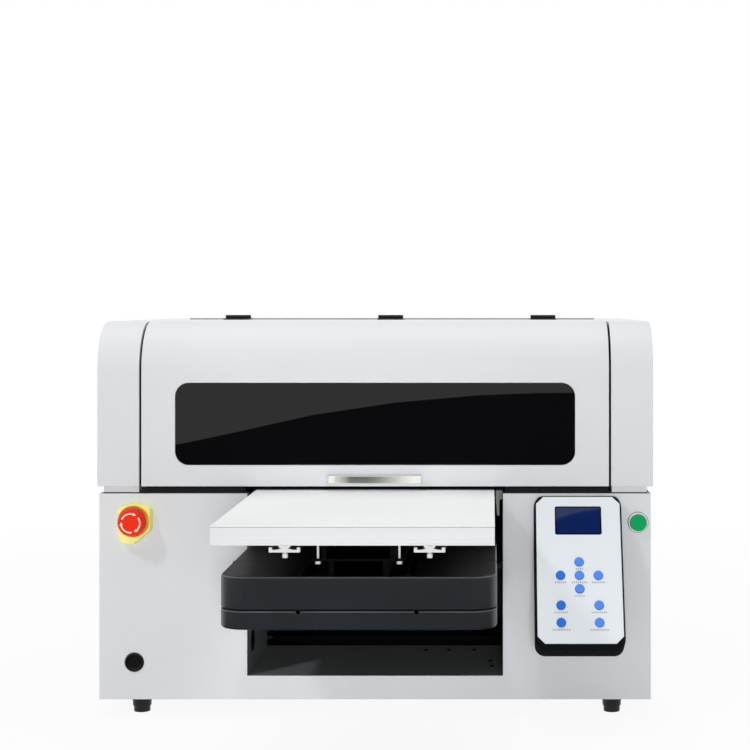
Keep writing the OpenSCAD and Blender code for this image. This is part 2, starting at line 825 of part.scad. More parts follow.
module slide_blocks() color("silver")
  both_sides() for (y = [saddle_start + 15, saddle_start + saddle_l - 15 - block_l])
    along_y([y, y + block_l]) difference() {
      span([rail_x - block_w / 2, rail_x + block_w / 2], [trough_z + 2, block_top]);
      span([rail_x - rail_w / 2 - free_gap, rail_x + rail_w / 2 + free_gap],
           [trough_z, trough_z + rail_h + free_gap]);
    }

module table_saddle() color("black") {
  sole_t = 5;
  plate_t = 3;
  web_t = 6;
  drop_half = saddle_w / 2 - 20;
  box_half = saddle_w / 2 - 11;
  end = saddle_start + saddle_l;
  nut_y = (saddle_start + end) / 2;
  difference() {
    along_y([saddle_start, end]) {
      span([-saddle_w / 2, saddle_w / 2], [block_top, block_top + sole_t]);
      span([-saddle_w / 2, saddle_w / 2], [saddle_plate_z, saddle_plate_z + plate_t]);
      span([-box_half, box_half], [table_z - plate_t, table_z]);
      for (x = [-1, 1]) {
        translate([x * (drop_half - web_t / 2), 0])
          span([-web_t / 2, web_t / 2], [block_top, saddle_plate_z + 1]);
        translate([x * (box_half - web_t / 2), 0])
          span([-web_t / 2, web_t / 2], [saddle_plate_z, table_z]);
      }
    }
    for (x = [-level_screw_x, level_screw_x], y = [saddle_start + 6, end - 6])
      pillar(x, y, [saddle_plate_z - 1, saddle_plate_z + plate_t + 1], level_screw_r + 0.2);
  }
  difference() {
    box([-15, 15], [nut_y - 20, nut_y + 20], [screw_z - screw_d / 2 - 4, block_top + 1]);
    bar_y(0, screw_z, [nut_y - 21, nut_y + 21], screw_d / 2 + run_gap);
  }
}

// Lift

bush_l = 20;
nut_l = 12;

module lift_plate() color("dimgray")
  difference() {
    union() {
      box([-lift_plate_w / 2, lift_plate_w / 2], [lift_y - lift_plate_l / 2, lift_y + lift_plate_l / 2],
          [lift_plate_z, beam_z]);
      for (x = [-rod_x, rod_x]) {
        pillar(x, lift_y, [lift_plate_z - nut_l, beam_z], lift_screw_d / 2 + 7);
        for (y = [-1, 1])
          pillar(x, lift_y + y * rod_pitch / 2, [lift_plate_z - bush_l, beam_z], rod_d / 2 + 6);
      }
    }
    for (x = [-rod_x, rod_x]) {
      pillar(x, lift_y, [lift_plate_z - nut_l - 1, beam_z + 1], lift_screw_d / 2 + run_gap);
      for (y = [-1, 1])
        pillar(x, lift_y + y * rod_pitch / 2, [lift_plate_z - bush_l - 1, beam_z + 1], rod_d / 2 + run_gap);
    }
  }

module guide_rods() color("silver")
  for (x = [-rod_x, rod_x], y = [-1, 1])
    pillar(x, lift_y + y * rod_pitch / 2, [base_top, cabinet_h], rod_d / 2);

// Lift screw with its belt pulley, a lower journal in the base and an upper one through the deck
module lift_screw(x, top) {
  track_z = lift_pulley_z + lift_flange_t;
  pulley_top = track_z + lift_track + lift_flange_t;
  pillar(x, lift_y, [base_top, pulley_top], lift_journal_r);
  pillar(x, lift_y, [lift_pulley_z, track_z], lift_pulley_d / 2 + 2);
  pillar(x, lift_y, [track_z, track_z + lift_track], lift_pulley_d / 2);
  pillar(x, lift_y, [track_z + lift_track, pulley_top], lift_pulley_d / 2 + 2);
  pillar(x, lift_y, [lift_pulley_z, cabinet_h - 1], lift_screw_d / 2);
  pillar(x, lift_y, [lift_pulley_z, top], lift_journal_r);
}

module lift_screw_left() color("silver") lift_screw(-rod_x, deck_z - free_gap);

module lift_screw_right() color("silver") lift_screw(rod_x, deck_z + 14);

module lift_motor() color("black")
  difference() {
    plan([deck_z, deck_z + motor_l]) translate([rod_x, lift_y]) motor_outline();
    pillar(rod_x, lift_y, [deck_z - 1, deck_z + 15], lift_journal_r + run_gap);
  }

module lift_belt() color("black") {
  low = lift_pulley_z + lift_flange_t + 0.3;
  plan([low, low + lift_belt_w]) translate([0, lift_y]) difference() {
    belt_loop(rod_x, lift_pulley_d / 2 + run_gap + belt_t);
    belt_loop(rod_x, lift_pulley_d / 2 + run_gap);
  }
}

// Gantry, carriage and ink supply

module gantry_beam() color("silver") {
  wall = 4;
  leg_w = 20;
  difference() {
    union() {
      box([-gantry_l / 2, gantry_l / 2], [gantry_y, gantry_y + gantry_d], [gantry_z, gantry_z + gantry_h]);
      both_sides()
        box([gantry_l / 2 - leg_w, gantry_l / 2], [gantry_y, gantry_y + gantry_d], [deck_z, gantry_z + 1]);
    }
    box([-gantry_l / 2 - 1, gantry_l / 2 + 1], [gantry_y + wall, gantry_y + gantry_d - wall],
        [gantry_z + wall, gantry_z + gantry_h - wall]);
    bar_y(pulley_x, pulley_z, [gantry_y - 1, gantry_y + gantry_d + 1], shaft_r + 1.5);
  }
  bar_y(-pulley_x, pulley_z, [belt_front - 2, gantry_y + 1], shaft_r);
}

module x_rail() color("silver")
  along_x([-x_rail_l / 2, x_rail_l / 2]) difference() {
    span([gantry_y - x_rail_d, gantry_y], [x_rail_z, x_rail_z + x_rail_h]);
    for (z = [x_rail_z, x_rail_z + x_rail_h])
      span([gantry_y - 8, gantry_y - 5], [z - 2, z + 2]);
  }

module x_motor() color("black")
  difference() {
    along_y([gantry_y + gantry_d, gantry_y + gantry_d + motor_l])
      translate([pulley_x, pulley_z]) motor_outline();
    bar_y(pulley_x, pulley_z, [gantry_y, gantry_y + gantry_d + 20], shaft_r + run_gap);
  }

// Flanged belt pulley on a gantry end
module gantry_pulley(x) {
  for (y = [belt_front - 1, belt_back + 0.1])
    bar_y(x, pulley_z, [y, y + 0.9], pulley_r + 2);
  bar_y(x, pulley_z, [belt_front - 1, belt_back + 1], pulley_r);
}

module x_drive_pulley() color("silver") {
  gantry_pulley(pulley_x);
  bar_y(pulley_x, pulley_z, [belt_front - 1, gantry_y + gantry_d + 18], shaft_r);
}

module x_idler_pulley() color("silver")
  difference() {
    gantry_pulley(-pulley_x);
    bar_y(-pulley_x, pulley_z, [belt_front - 3, belt_back + 3], shaft_r + run_gap);
  }

module x_belt() color("black")
  along_y([belt_front + 0.2, belt_back - 0.2]) translate([0, pulley_z]) difference() {
    belt_loop(pulley_x, pulley_r + run_gap + belt_t);
    belt_loop(pulley_x, pulley_r + run_gap);
  }

module carriage_frame() color("#303236") {
  wall = 3;
  box_h = 82;
  x0 = carriage_x - carriage_w / 2;
  x1 = carriage_x + carriage_w / 2;
  back = carriage_back - carriage_plate_t;
  front = back - carriage_d;
  run_z = pulley_z + pulley_r;
  difference() {
    union() {
      box([x0, x1], [front, carriage_back], [carriage_z, carriage_z + box_h]);
      box([carriage_x - 30, carriage_x + 30], [carriage_back - 1, gantry_y - 2],
          [x_rail_z - 7, x_rail_z + x_rail_h + 3]);
      box([carriage_x - 12, carriage_x + 12], [carriage_back - 1, belt_back + 2], [run_z - 5, run_z + 6]);
    }
    box([x0 + wall, x1 - wall], [front + wall, back], [carriage_z + wall, carriage_z + box_h + 1]);
    box([x0, x1], [gantry_y - x_rail_d - free_gap, gantry_y],
        [x_rail_z - free_gap, x_rail_z + x_rail_h + free_gap]);
    box([x0, x1], [belt_front - free_gap, belt_back + 3],
        [run_z - free_gap, run_z + belt_t + run_gap + free_gap]);
  }
}

module print_heads() color("silver") {
  back = carriage_back - carriage_plate_t - 6;
  front = back - carriage_d + 12;
  lip = 5;
  for (x = [-carriage_w / 4, carriage_w / 4]) {
    box([carriage_x + x - 20, carriage_x + x + 20], [front, back], [head_z + 4, carriage_z]);
    box([carriage_x + x - 20 + lip, carriage_x + x + 20 - lip], [front + lip, back - lip],
        [head_z, head_z + 5]);
  }
}

module uv_lamp() color("#26282b") {
  x1 = carriage_x - carriage_w / 2;
  back = carriage_back - carriage_plate_t - 10;
  front = back - carriage_d + 20;
  fin_count = 6;
  fin_h = 26;
  fin_pitch = (back - front) / fin_count;
  difference() {
    box([x1 - lamp_w, x1], [front, back], [head_z + 2, carriage_z + 62]);
    for (i = [0 : fin_count - 2])
      box([x1 - lamp_w - 1, x1 - 6], [front + (i + 0.6) * fin_pitch, front + (i + 1.1) * fin_pitch],
          [carriage_z + 62 - fin_h, carriage_z + 63]);
  }
}

module capping_station() color("#3a3c40") {
  back = carriage_back - carriage_plate_t - 6;
  front = back - carriage_d + 12;
  cap_z = head_z - 1.5;
  difference() {
    box([carriage_x - carriage_w / 2 + 4, carriage_x + carriage_w / 2 - 4], [front, back], [deck_z, cap_z]);
    for (x = [-carriage_w / 4, carriage_w / 4])
      box([carriage_x + x - 18, carriage_x + x + 18], [front + 3, back - 3], [cap_z - 4, cap_z + 1]);
  }
}

module ink_tanks() color("#d8d4c4") {
  tank_count = 6;
  pitch = 43;
  tank_h = 92;
  start = gantry_y + gantry_d + 36;
  x0 = 8 - cheek_in;
  x1 = -deck_gap_half - 10;
  for (i = [0 : tank_count - 1]) {
    box([x0, x1], [start + i * pitch, start + i * pitch + 38], [deck_z, deck_z + tank_h]);
    pillar(x1 - 26, start + i * pitch + 19, [deck_z + tank_h - 1, deck_z + tank_h + 10], 12);
  }
}

// Console and buttons

console_end = 6;
console_bevel = 8;
console_r = 14;
key_pocket_r = key_d / 2 + 1.7;

module console_housing() color("#1b1c1e") {
  length = face_l + console_end + console_rim;
  stub_half = 35;
  stub_reach = 100;
  stub_low = 165;
  stub_top = 85;
  stub_back = 20;
  difference() {
    union() {
      on_console() hull() {
        translate([0, console_rim - length / 2, -console_depth])
          linear_extrude(console_depth - console_bevel)
            rounded_rect(face_w + 2 * console_rim, length, console_r, $fn = 32);
        translate([0, -face_l / 2, -console_bevel])
          linear_extrude(console_bevel) rounded_rect(face_w + 2, face_l + 3, console_r - 3, $fn = 32);
      }
      intersection() {
        box([console_x - stub_half, console_x + stub_half], [-stub_reach, 0],
            [cabinet_h - stub_low, cabinet_h - stub_top]);
        on_console() translate([-stub_half, -2 * face_l, -4 * console_depth])
          cube([2 * stub_half, 3 * face_l, 4 * console_depth - stub_back]);
      }
    }
    box([console_x - face_w, console_x + face_w], [0, body_d], [0, hood_z]);
    on_console() {
      translate([0, -face_l / 2, -face_recess]) linear_extrude(face_recess + 1)
        cut_rect(face_w + 0.2, face_l + 0.2, face_cut);
      for (k = KEYS)
        translate([k[0], -k[1], -face_recess - 5]) cylinder(h = 6, r = key_pocket_r);
    }
  }
}

module console_faceplate() color("#e6ebf1")
  on_console() translate([0, 0, -face_recess]) linear_extrude(face_t) difference() {
    translate([0, -face_l / 2]) cut_rect(face_w, face_l, face_cut);
    translate([0, -lcd_down]) rounded_rect(lcd_w + 0.2, lcd_h + 0.2, 2.5);
    for (k = KEYS)
      translate([k[0], -k[1]]) circle(key_d / 2 + run_gap);
  }

module lcd_window() color("#0f2557")
  on_console() translate([0, -lcd_down, -face_recess]) linear_extrude(face_t - 0.3)
    rounded_rect(lcd_w, lcd_h, 2.4);

module key(place) color("#5790fb")
  on_console() translate([place[0], -place[1], 0]) {
    back = -face_recess - 0.2;
    translate([0, 0, back - key_flange]) cylinder(h = key_flange, r = key_d / 2 + 1.2);
    translate([0, 0, back - key_flange])
      cylinder(h = key_flange + 0.2 + face_t + key_proud, r = key_d / 2);
  }

module estop_guard() color("gold") {
  corner = 8;
  taper = 4;
  well_r = estop_d / 2 + 2;
  lobe_x = guard_w / 2 - corner;
  low = guard_h / 2 - corner + 4;
  at_front(-estop_x, estop_z) difference() {
    union() {
      hull() for (p = [[-lobe_x, lobe_x - 3], [0, lobe_x + 1], [lobe_x, lobe_x - 3], [lobe_x, -corner - 1],
                       [-3, -low], [3 - lobe_x, 2 - low], [0.5 - lobe_x, -corner]])
        translate([p[0], p[1], 0])
          cylinder(h = guard_out, r1 = corner, r2 = corner - taper / 2, $fn = 32);
      translate([0, 0, -14]) cylinder(h = 14.5, d = button_hole_d - 0.2);
      translate([-14, -14, -46]) cube([28, 28, 34]);
    }
    translate([0, 0, estop_well_z]) cylinder(h = guard_out, r = well_r);
    translate([0, 0, -30]) cylinder(h = guard_out + 31, r = estop_stem_r + run_gap);
  }
}

module estop_plunger() color("black")
  at_front(-estop_x, estop_z) {
    translate([0, 0, -22]) cylinder(h = estop_head_z + 22, r = estop_stem_r);
    cylinder(h = estop_out - 10, r = estop_post_r);
  }

module estop_head() color("red")
  at_front(-estop_x, estop_z) {
    r = estop_d / 2;
    edge = 3;
    rim_z = estop_out - 9;
    bore_r = estop_post_r + run_gap;
    rotate_extrude() difference() {
      union() {
        span([0, r * 0.72], [estop_head_z, rim_z]);
        polygon([[0, estop_head_z + 3], [r * 0.72, estop_head_z + 3], [r, rim_z - 4], [r, rim_z + 2],
                 [r - edge, estop_out], [0, estop_out]]);
      }
      span([-1, bore_r], [estop_head_z - 1, estop_out - 9.5]);
    }
  }

module start_bezel() color("silver")
  at_front(start_x, start_z) difference() {
    union() {
      cylinder(h = 5, d1 = start_bezel_d, d2 = start_bezel_d - 1.5);
      translate([0, 0, -14]) cylinder(h = 14.5, d = button_hole_d - 0.2);
      translate([-14, -14, -46]) cube([28, 28, 34]);
    }
    cylinder(h = 6, r = start_lens_d / 2 + run_gap);
    translate([0, 0, -30]) cylinder(h = 31, r = start_stem_r + run_gap);
  }

module start_lens() color("#1d9b5b")
  at_front(start_x, start_z) {
    translate([0, 0, -22]) cylinder(h = 26, r = start_stem_r);
    translate([0, 0, 3.5]) cylinder(h = start_out - 4.5, r = start_lens_d / 2);
    translate([0, 0, start_out - 1]) cylinder(h = 1, d1 = start_lens_d, d2 = start_lens_d - 2);
  }

base_pan();
feet();
front_panel();
cabinet_wrap();
bay_liner();
deck_frame();
hood_cheeks();
rear_hood();
hinge_fixed_leaves();
gantry_beam();
x_rail();
x_motor();
x_belt();
capping_station();
ink_tanks();
estop_guard();
start_bezel();
console_housing();
console_faceplate();
lcd_window();
hole_plug();
guide_rods();
lift_motor();
lift_belt();
electronics_box();
mains_inlet();
lid_shell();
lid_window();
lid_handle();
hinge_moving_leaves();
beam_cover();
beam_tray();
lift_plate();
y_rails();
y_motor();
y_screw();
lift_screw_left();
lift_screw_right();
table_slab();
table_sheet();
table_profiles();
slide_blocks();
table_saddle();
carriage_frame();
print_heads();
uv_lamp();
x_drive_pulley();
x_idler_pulley();
estop_plunger();
estop_head();
start_lens();
key(KEYS[0]);  // key_up
key(KEYS[1]);  // key_left
key(KEYS[2]);  // key_enter
key(KEYS[3]);  // key_right
key(KEYS[4]);  // key_down
key(KEYS[5]);  // key_lower_left
key(KEYS[6]);  // key_lower_right
key(KEYS[7]);  // key_bottom_left
key(KEYS[8]);  // key_bottom_right
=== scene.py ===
import json
import math

import bmesh
import bpy
from mathutils import Matrix, Vector


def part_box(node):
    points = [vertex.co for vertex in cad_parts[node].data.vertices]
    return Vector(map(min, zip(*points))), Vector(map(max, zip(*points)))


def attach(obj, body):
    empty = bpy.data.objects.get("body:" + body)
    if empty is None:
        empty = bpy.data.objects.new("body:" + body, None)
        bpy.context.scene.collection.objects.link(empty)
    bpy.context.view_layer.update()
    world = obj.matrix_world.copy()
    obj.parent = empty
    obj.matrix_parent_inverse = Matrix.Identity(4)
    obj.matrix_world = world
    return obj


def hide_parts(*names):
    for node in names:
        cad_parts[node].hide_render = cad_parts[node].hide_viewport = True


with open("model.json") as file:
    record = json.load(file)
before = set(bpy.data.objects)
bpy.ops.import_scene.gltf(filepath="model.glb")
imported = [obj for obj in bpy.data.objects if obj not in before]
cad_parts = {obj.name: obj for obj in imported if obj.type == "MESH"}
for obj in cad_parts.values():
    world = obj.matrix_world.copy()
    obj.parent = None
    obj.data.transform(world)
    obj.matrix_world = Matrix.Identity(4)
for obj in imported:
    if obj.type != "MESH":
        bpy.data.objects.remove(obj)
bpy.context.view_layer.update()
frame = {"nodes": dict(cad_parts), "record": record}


# Base pan and feet
# The machine stands on a folded steel pan, powder coated black, with bearing bosses for the lift on its upper
# side and four moulded rubber feet screwed under its corners.


class Shade:
    """A node's socket that takes part in arithmetic. Every other node comes from add()."""

    def __init__(self, tree, socket=None):
        self.tree = tree
        self.socket = socket

    def add(self, kind, settings=None, sockets=None, output=0):
        """Adds a node, gives it its settings first and then the values or links of its sockets."""
        node = self.tree.nodes.new(kind)
        for name, value in (settings or {}).items():
            if name == "stops":
                ramp = node.color_ramp.elements
                while len(ramp) < len(value):
                    ramp.new(0.5)
                for stop, (position, colour) in zip(ramp, value):
                    stop.position = position
                    stop.color = colour
            else:
                setattr(node, name, value)
        for name, value in (sockets or {}).items():
            if isinstance(value, (Shade, list)):
                for source in [value] if isinstance(value, Shade) else value:
                    source.feed(node, name)
            else:
                node.inputs[name].default_value = value
        return Shade(self.tree, node.outputs[output])

    def feed(self, node, name):
        self.tree.links.new(self.socket, node.inputs[name])

    def maths(self, operation, other=0.0):
        return self.add("ShaderNodeMath", {"operation": operation}, {0: self, 1: other})

    def __add__(self, other):
        return self.maths("ADD", other)

    __radd__ = __add__

    def __sub__(self, other):
        return self.maths("SUBTRACT", other)

    def __rsub__(self, other):
        return self.add("ShaderNodeMath", {"operation": "SUBTRACT"}, {0: other, 1: self})

    def __mul__(self, other):
        return self.maths("MULTIPLY", other)

    __rmul__ = __mul__

    def __lt__(self, other):
        return self.maths("LESS_THAN", other)

    def __gt__(self, other):
        return self.maths("GREATER_THAN", other)

    def __abs__(self):
        return self.maths("ABSOLUTE")

    def vector(self, operation, other=(0.0, 0.0, 0.0), output=0):
        return self.add("ShaderNodeVectorMath", {"operation": operation}, {0: self, 1: other}, output)

    def part(self, axis):
        """The X, Y or Z of a vector."""
        return self.add("ShaderNodeSeparateXYZ", None, {0: self}, axis)

    def noise(self, size, detail=2.0, stretch=(1.0, 1.0, 1.0)):
        """Soft noise whose blotches are about size metres across, drawn out where stretch is small."""
        place = self.vector("MULTIPLY", stretch)
        return self.add("ShaderNodeTexNoise", None, {"Vector": place, "Scale": 1 / size, "Detail": detail})

    def blend(self, dark, light):
        """A colour between two colours, by this value."""
        return self.add("ShaderNodeMix", {"data_type": "RGBA"}, {0: self, 6: dark, 7: light}, 2)

    def relief(self, depth):
        """A surface normal for bumps depth metres high."""
        return self.add("ShaderNodeBump", None, {"Height": self, "Strength": 1.0, "Distance": depth})

    def shape(self, kind, **sockets):
        """A node of Geometry Nodes, its sockets written with _ for a space."""
        named = {name.replace("_", " "): value for name, value in sockets.items()}
        return self.add("GeometryNode" + kind, None, named)


def rgb(red, green, blue):
    """A paint-chart colour, 0 to 255 a channel, as the renderer counts light."""
    return tuple(
        (v / 255 / 12.92 if v < 10.5 else ((v / 255 + 0.055) / 1.055) ** 2.4) for v in (red, green, blue)
    ) + (1.0,)


def tone(colour, factor):
    """The same colour, lighter or darker."""
    return tuple(min(1.0, v * factor) for v in colour[:3]) + (1.0,)


def new_finish(name, gloss=0.5, metallic=0.0):
    """A material with its shader, and the place on the piece as a Shade."""
    material = bpy.data.materials.new(name)
    material.use_nodes = True
    shader = material.node_tree.nodes["Principled BSDF"]
    shader.inputs["Specular IOR Level"].default_value = gloss
    shader.inputs["Metallic"].default_value = metallic
    return material, shader, Shade(material.node_tree).add("ShaderNodeTexCoord", output="Object")


def dress(shader, colour, roughness, normal=None):
    """Feeds a shader with what changes over the surface."""
    colour.feed(shader, "Base Color")
    roughness.feed(shader, "Roughness")
    if normal:
        normal.feed(shader, "Normal")


def powder_coat(name, colour, roughness, peel=0.0012, depth=0.000012, gloss=0.5):
    """Sprayed and baked powder: an even colour with a fine orange peel and faint clouds in the gloss."""
    material, shader, place = new_finish(name, gloss)
    grain = place.noise(peel, 1.0)
    cloud = place.noise(0.13, 3.0)
    dress(shader, cloud.blend(tone(colour, 0.965), tone(colour, 1.03)),
          cloud * 0.10 + grain * 0.06 + (roughness - 0.08), grain.relief(depth))
    return material


def moulded(name, colour, roughness, grain_size=0.0008, depth=0.00002, gloss=0.5):
    """Moulded plastic or rubber with the fine spark-eroded grain of its tool."""
    material, shader, place = new_finish(name, gloss)
    grain = place.noise(grain_size)
    cloud = place.noise(0.05)
    dress(shader, (cloud * 0.6 + grain * 0.4).blend(tone(colour, 0.88), tone(colour, 1.12)),
          grain * 0.16 + (roughness - 0.08), grain.relief(depth))
    return material


def wear(node, material):
    """Gives a CAD piece its finish."""
    slots = frame["nodes"][node].data.materials
    slots.clear()
    slots.append(material)


def placed(name, data):
    """A new object in the scene."""
    thing = bpy.data.objects.new(name, data)
    bpy.context.scene.collection.objects.link(thing)
    return thing


def mesh_piece(name, mesh, material, node, replaces=False):
    """Puts a mesh in the scene in a finish, riding with a CAD piece's body, or standing in its place."""
    piece = placed(name, mesh)
    mesh.materials.clear()
    mesh.materials.append(material)
    record = frame["record"]
    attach(piece, next(body for body, nodes in record["behaviour"]["bodies"].items() if node in nodes))
    if replaces:
        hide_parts(node)
    return piece


def evaluated_mesh(holder, name):
    """The plain mesh that an object's modifiers make. The object itself is dropped."""
    mesh = bpy.data.meshes.new_from_object(holder.evaluated_get(bpy.context.evaluated_depsgraph_get()))
    mesh.name = name
    source = holder.data
    bpy.data.objects.remove(holder)
    bpy.data.meshes.remove(source)
    return mesh


def merged(node, mesh=None):
    """A working copy of a CAD piece's mesh, or of another, with its loose triangles joined."""
    work = bmesh.new()
    work.from_mesh(mesh or frame["nodes"][node].data)
    bmesh.ops.remove_doubles(work, verts=work.verts, dist=1e-6)
    return work


def settled(work, name):
    """Ends a working copy as a mesh."""
    mesh = bpy.data.meshes.new(name)
    work.to_mesh(mesh)
    work.free()
    return mesh


def softened(node, material, radius, segments=2, broad=None, shape=None):
    """Stands for a CAD piece with the same faces and the small rounded edges that folding or moulding leaves.

    broad gives a larger radius and a test on an edge's middle for the edges that get it, and shape a mesh
    that is used instead of the CAD piece's own."""
    crease = math.radians(32)
    work = merged(node, shape)
    bmesh.ops.dissolve_limit(work, angle_limit=math.radians(0.5), verts=work.verts, edges=work.edges)
    for face in work.faces:
        face.smooth = True
    if broad:
        widest, is_broad = broad
        share = work.edges.layers.float.new("bevel_weight_edge")
        for edge in work.edges:
            if len(edge.link_faces) == 2 and edge.calc_face_angle() > crease:
                middle = (edge.verts[0].co + edge.verts[1].co) / 2
                edge[share] = 1.0 if is_broad(middle) else radius / widest
    holder = placed(node + "_holder", settled(work, node + "_source"))
    bevel = holder.modifiers.new("edges", "BEVEL")
    bevel.width = broad[0] if broad else radius
    bevel.segments = segments
    bevel.limit_method = "WEIGHT" if broad else "ANGLE"
    bevel.angle_limit = crease
    bevel.harden_normals = True
    bevel.use_clamp_overlap = not broad
    bevel.miter_outer = "MITER_ARC"
    evener = holder.modifiers.new("flat_faces", "WEIGHTED_NORMAL")
    evener.weight = 100
    name = node + "_rounded"
    return mesh_piece(name, evaluated_mesh(holder, name), material, node, replaces=True)


black_coat = powder_coat("black_powder_coat", rgb(22, 23, 25), 0.55, 0.0009, 0.00002, gloss=0.25)
foot_rubber = moulded("foot_rubber", rgb(8, 8, 9), 0.3, gloss=0.3)
wear("base_pan", black_coat)
moulded_edge = 0.0012
softened("feet", foot_rubber, moulded_edge)


# Lower cabinet
# One bent sheet makes the sides and the back, and a flat front panel with a U-shaped opening closes it. Both
# are powder coated light grey, with the sheet's inner faces painted near black as painted shade. Cap screws
# along the edges hold them together, and a pad of filter foam lies behind the vent slots.

fold_edge = 0.0009
cabinet_coat = powder_coat("cabinet_powder_coat", rgb(221, 223, 226), 0.42)
softened("front_panel", cabinet_coat, fold_edge)


def corners(node):
    """The lowest and the highest corner of a CAD piece's box."""
    low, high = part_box(node)
    return Vector(low), Vector(high)


wrap_low, wrap_high = corners("cabinet_wrap")
wrap_skin = 0.0011
wrap_coat, wrap_shader, wrap_place = new_finish("cabinet_coat_and_painted_shade")
wrap_x = wrap_place.part("X")
within_sides = (wrap_x < wrap_high.x - wrap_skin) * (wrap_x > wrap_low.x + wrap_skin)
# The inner faces are painted near black: painted shade for the dark inside of the cabinet.
painted_shade_inside = within_sides * (wrap_place.part("Y") < wrap_high.y - wrap_skin)
wrap_peel = wrap_place.noise(0.0012, 1.0)
wrap_cloud = wrap_place.noise(0.13, 3.0)
outer_coat = wrap_cloud.blend(rgb(218, 220, 223), rgb(224, 226, 229))
dress(wrap_shader, painted_shade_inside.blend(outer_coat, rgb(30, 31, 32)), wrap_cloud * 0.10 + wrap_peel * 0.06 + 0.34,
      wrap_peel.relief(0.000012))
softened("cabinet_wrap", wrap_coat, fold_edge)


def bare_metal(name, colour, roughness, grain=(1.0, 1.0, 1.0)):
    """Drawn, ground or brushed metal; grain is how far its streaks are drawn out along X, Y and Z."""
    material, shader, place = new_finish(name, metallic=1.0)
    streak = place.noise(0.0006, 3.0, grain)
    cloud = place.noise(0.04)
    dress(shader, (streak * 0.7 + cloud * 0.3).blend(tone(colour, 0.86), tone(colour, 1.1)),
          streak * 0.22 + cloud * 0.08 + (roughness - 0.15), streak.relief(0.000004))
    return material


def growth(name, sizes, turned=True):
    """A new Geometry Nodes tree with named inputs for its sizes, and those inputs as Shades."""
    tree = bpy.data.node_groups.new(name, "GeometryNodeTree")
    inputs = {"Geometry": "Geometry", **dict.fromkeys(sizes, "Float")}
    if turned:
        inputs["Facing"] = "Rotation"
    inputs["Finish"] = "Material"
    for label, kind in inputs.items():
        tree.interface.new_socket(label, in_out="INPUT", socket_type="NodeSocket" + kind)
    tree.interface.new_socket("Geometry", in_out="OUTPUT", socket_type="NodeSocketGeometry")
    given = tree.nodes.new("NodeGroupInput").outputs
    return {label: Shade(tree, given[label]) for label in inputs}


def grown_up(given, shape):
    """Ends a tree: its shape, on every vertex where it has a facing, is made plain mesh in its finish."""
    if "Facing" in given:
        shape = shape.shape("InstanceOnPoints", Points=given["Geometry"], Instance=shape,
                            Rotation=given["Facing"])
    solid = shape.shape("RealizeInstances", Geometry=shape)
    solid = shape.shape("SetMaterial", Geometry=solid, Material=given["Finish"])
    solid.feed(shape.tree.nodes.new("NodeGroupOutput"), "Geometry")
    return shape.tree


def screw_tree():
    """Geometry Nodes: a socket screw head on every vertex, all facing one way."""
    given = growth("socket_screw_heads", ("Head radius", "Head height", "Socket radius"))
    radius, height = given["Head radius"], given["Head height"]
    disc = radius.shape("MeshCylinder", Vertices=24, Radius=radius, Depth=height)
    crown = radius.shape("MeshCone", Vertices=24, Radius_Bottom=radius, Radius_Top=radius * 0.86,
                         Depth=height * 0.25)
    up = radius.add("ShaderNodeCombineXYZ", None, {"Z": height * 0.5})
    raised = radius.shape("Transform", Geometry=crown, Translation=up)
    head = radius.add("GeometryNodeMeshBoolean", {"operation": "UNION"}, {"Mesh 2": [disc, raised]})
    hexagon = radius.shape("MeshCylinder", Vertices=6, Radius=given["Socket radius"], Depth=height)
    sunk = radius.shape("Transform", Geometry=hexagon, Translation=up)
    cut = radius.add("GeometryNodeMeshBoolean", {"operation": "DIFFERENCE"}, {"Mesh 1": head, "Mesh 2": sunk})
    return grown_up(given, cut)


def grown_mesh(name, tree, points, material, edges=False, **sizes):
    """Runs a Geometry Nodes tree on points, or on a line through them, and keeps the plain mesh."""
    cloud = bpy.data.meshes.new(name + "_points")
    cloud.from_pydata(points, [(i, i + 1) for i in range(len(points) - 1)] if edges else [], [])
    holder = placed(name + "_holder", cloud)
    grow = holder.modifiers.new("grow", "NODES")
    grow.node_group = tree
    wanted = {label.replace("_", " ").capitalize(): value for label, value in sizes.items()}
    wanted["Finish"] = material
    for socket in tree.interface.items_tree:
        if socket.in_out == "INPUT" and socket.name in wanted:
            grow[socket.identifier] = wanted[socket.name]
    return evaluated_mesh(holder, name)


def grown(name, tree, points, material, node, edges=False, **sizes):
    """Puts what a Geometry Nodes tree makes on a CAD piece."""
    return mesh_piece(name, grown_mesh(name, tree, points, material, edges, **sizes), material, node)


def spread(low, high, count):
    """Evenly spaced values from low to high."""
    return [low + (high - low) * step / (count - 1) for step in range(count)]


FACING_FRONT = (math.pi / 2, 0.0, 0.0)
FACING_REAR = (-math.pi / 2, 0.0, 0.0)
FACING_RIGHT = (0.0, math.pi / 2, 0.0)
FACING_LEFT = (0.0, -math.pi / 2, 0.0)
FACING_UP = (0.0, 0.0, 0.0)
screw_heads = screw_tree()
screw_steel = bare_metal("screw_steel", rgb(176, 177, 178), 0.36)
cabinet_screw = {"head_radius": 0.0034, "head_height": 0.0016, "socket_radius": 0.0016}
edge_inset = 0.016
row_inset = 0.03
side_columns = (wrap_low.y + edge_inset, wrap_high.y - edge_inset)
side_rows = spread(wrap_low.z + row_inset, wrap_high.z - row_inset, 4)
for side, x, facing in (("left", wrap_low.x, FACING_LEFT), ("right", wrap_high.x, FACING_RIGHT)):
    grown("cabinet_screws_" + side, screw_heads, [(x, y, z) for y in side_columns for z in side_rows],
          screw_steel, "cabinet_wrap", facing=facing, **cabinet_screw)
rear_columns = spread(wrap_low.x + edge_inset, wrap_high.x - edge_inset, 5)
rear_rows = (wrap_low.z + 0.014, wrap_high.z - 0.014)
grown("cabinet_screws_rear", screw_heads, [(x, wrap_high.y, z) for x in rear_columns for z in rear_rows],
      screw_steel, "cabinet_wrap", facing=FACING_REAR, **cabinet_screw)


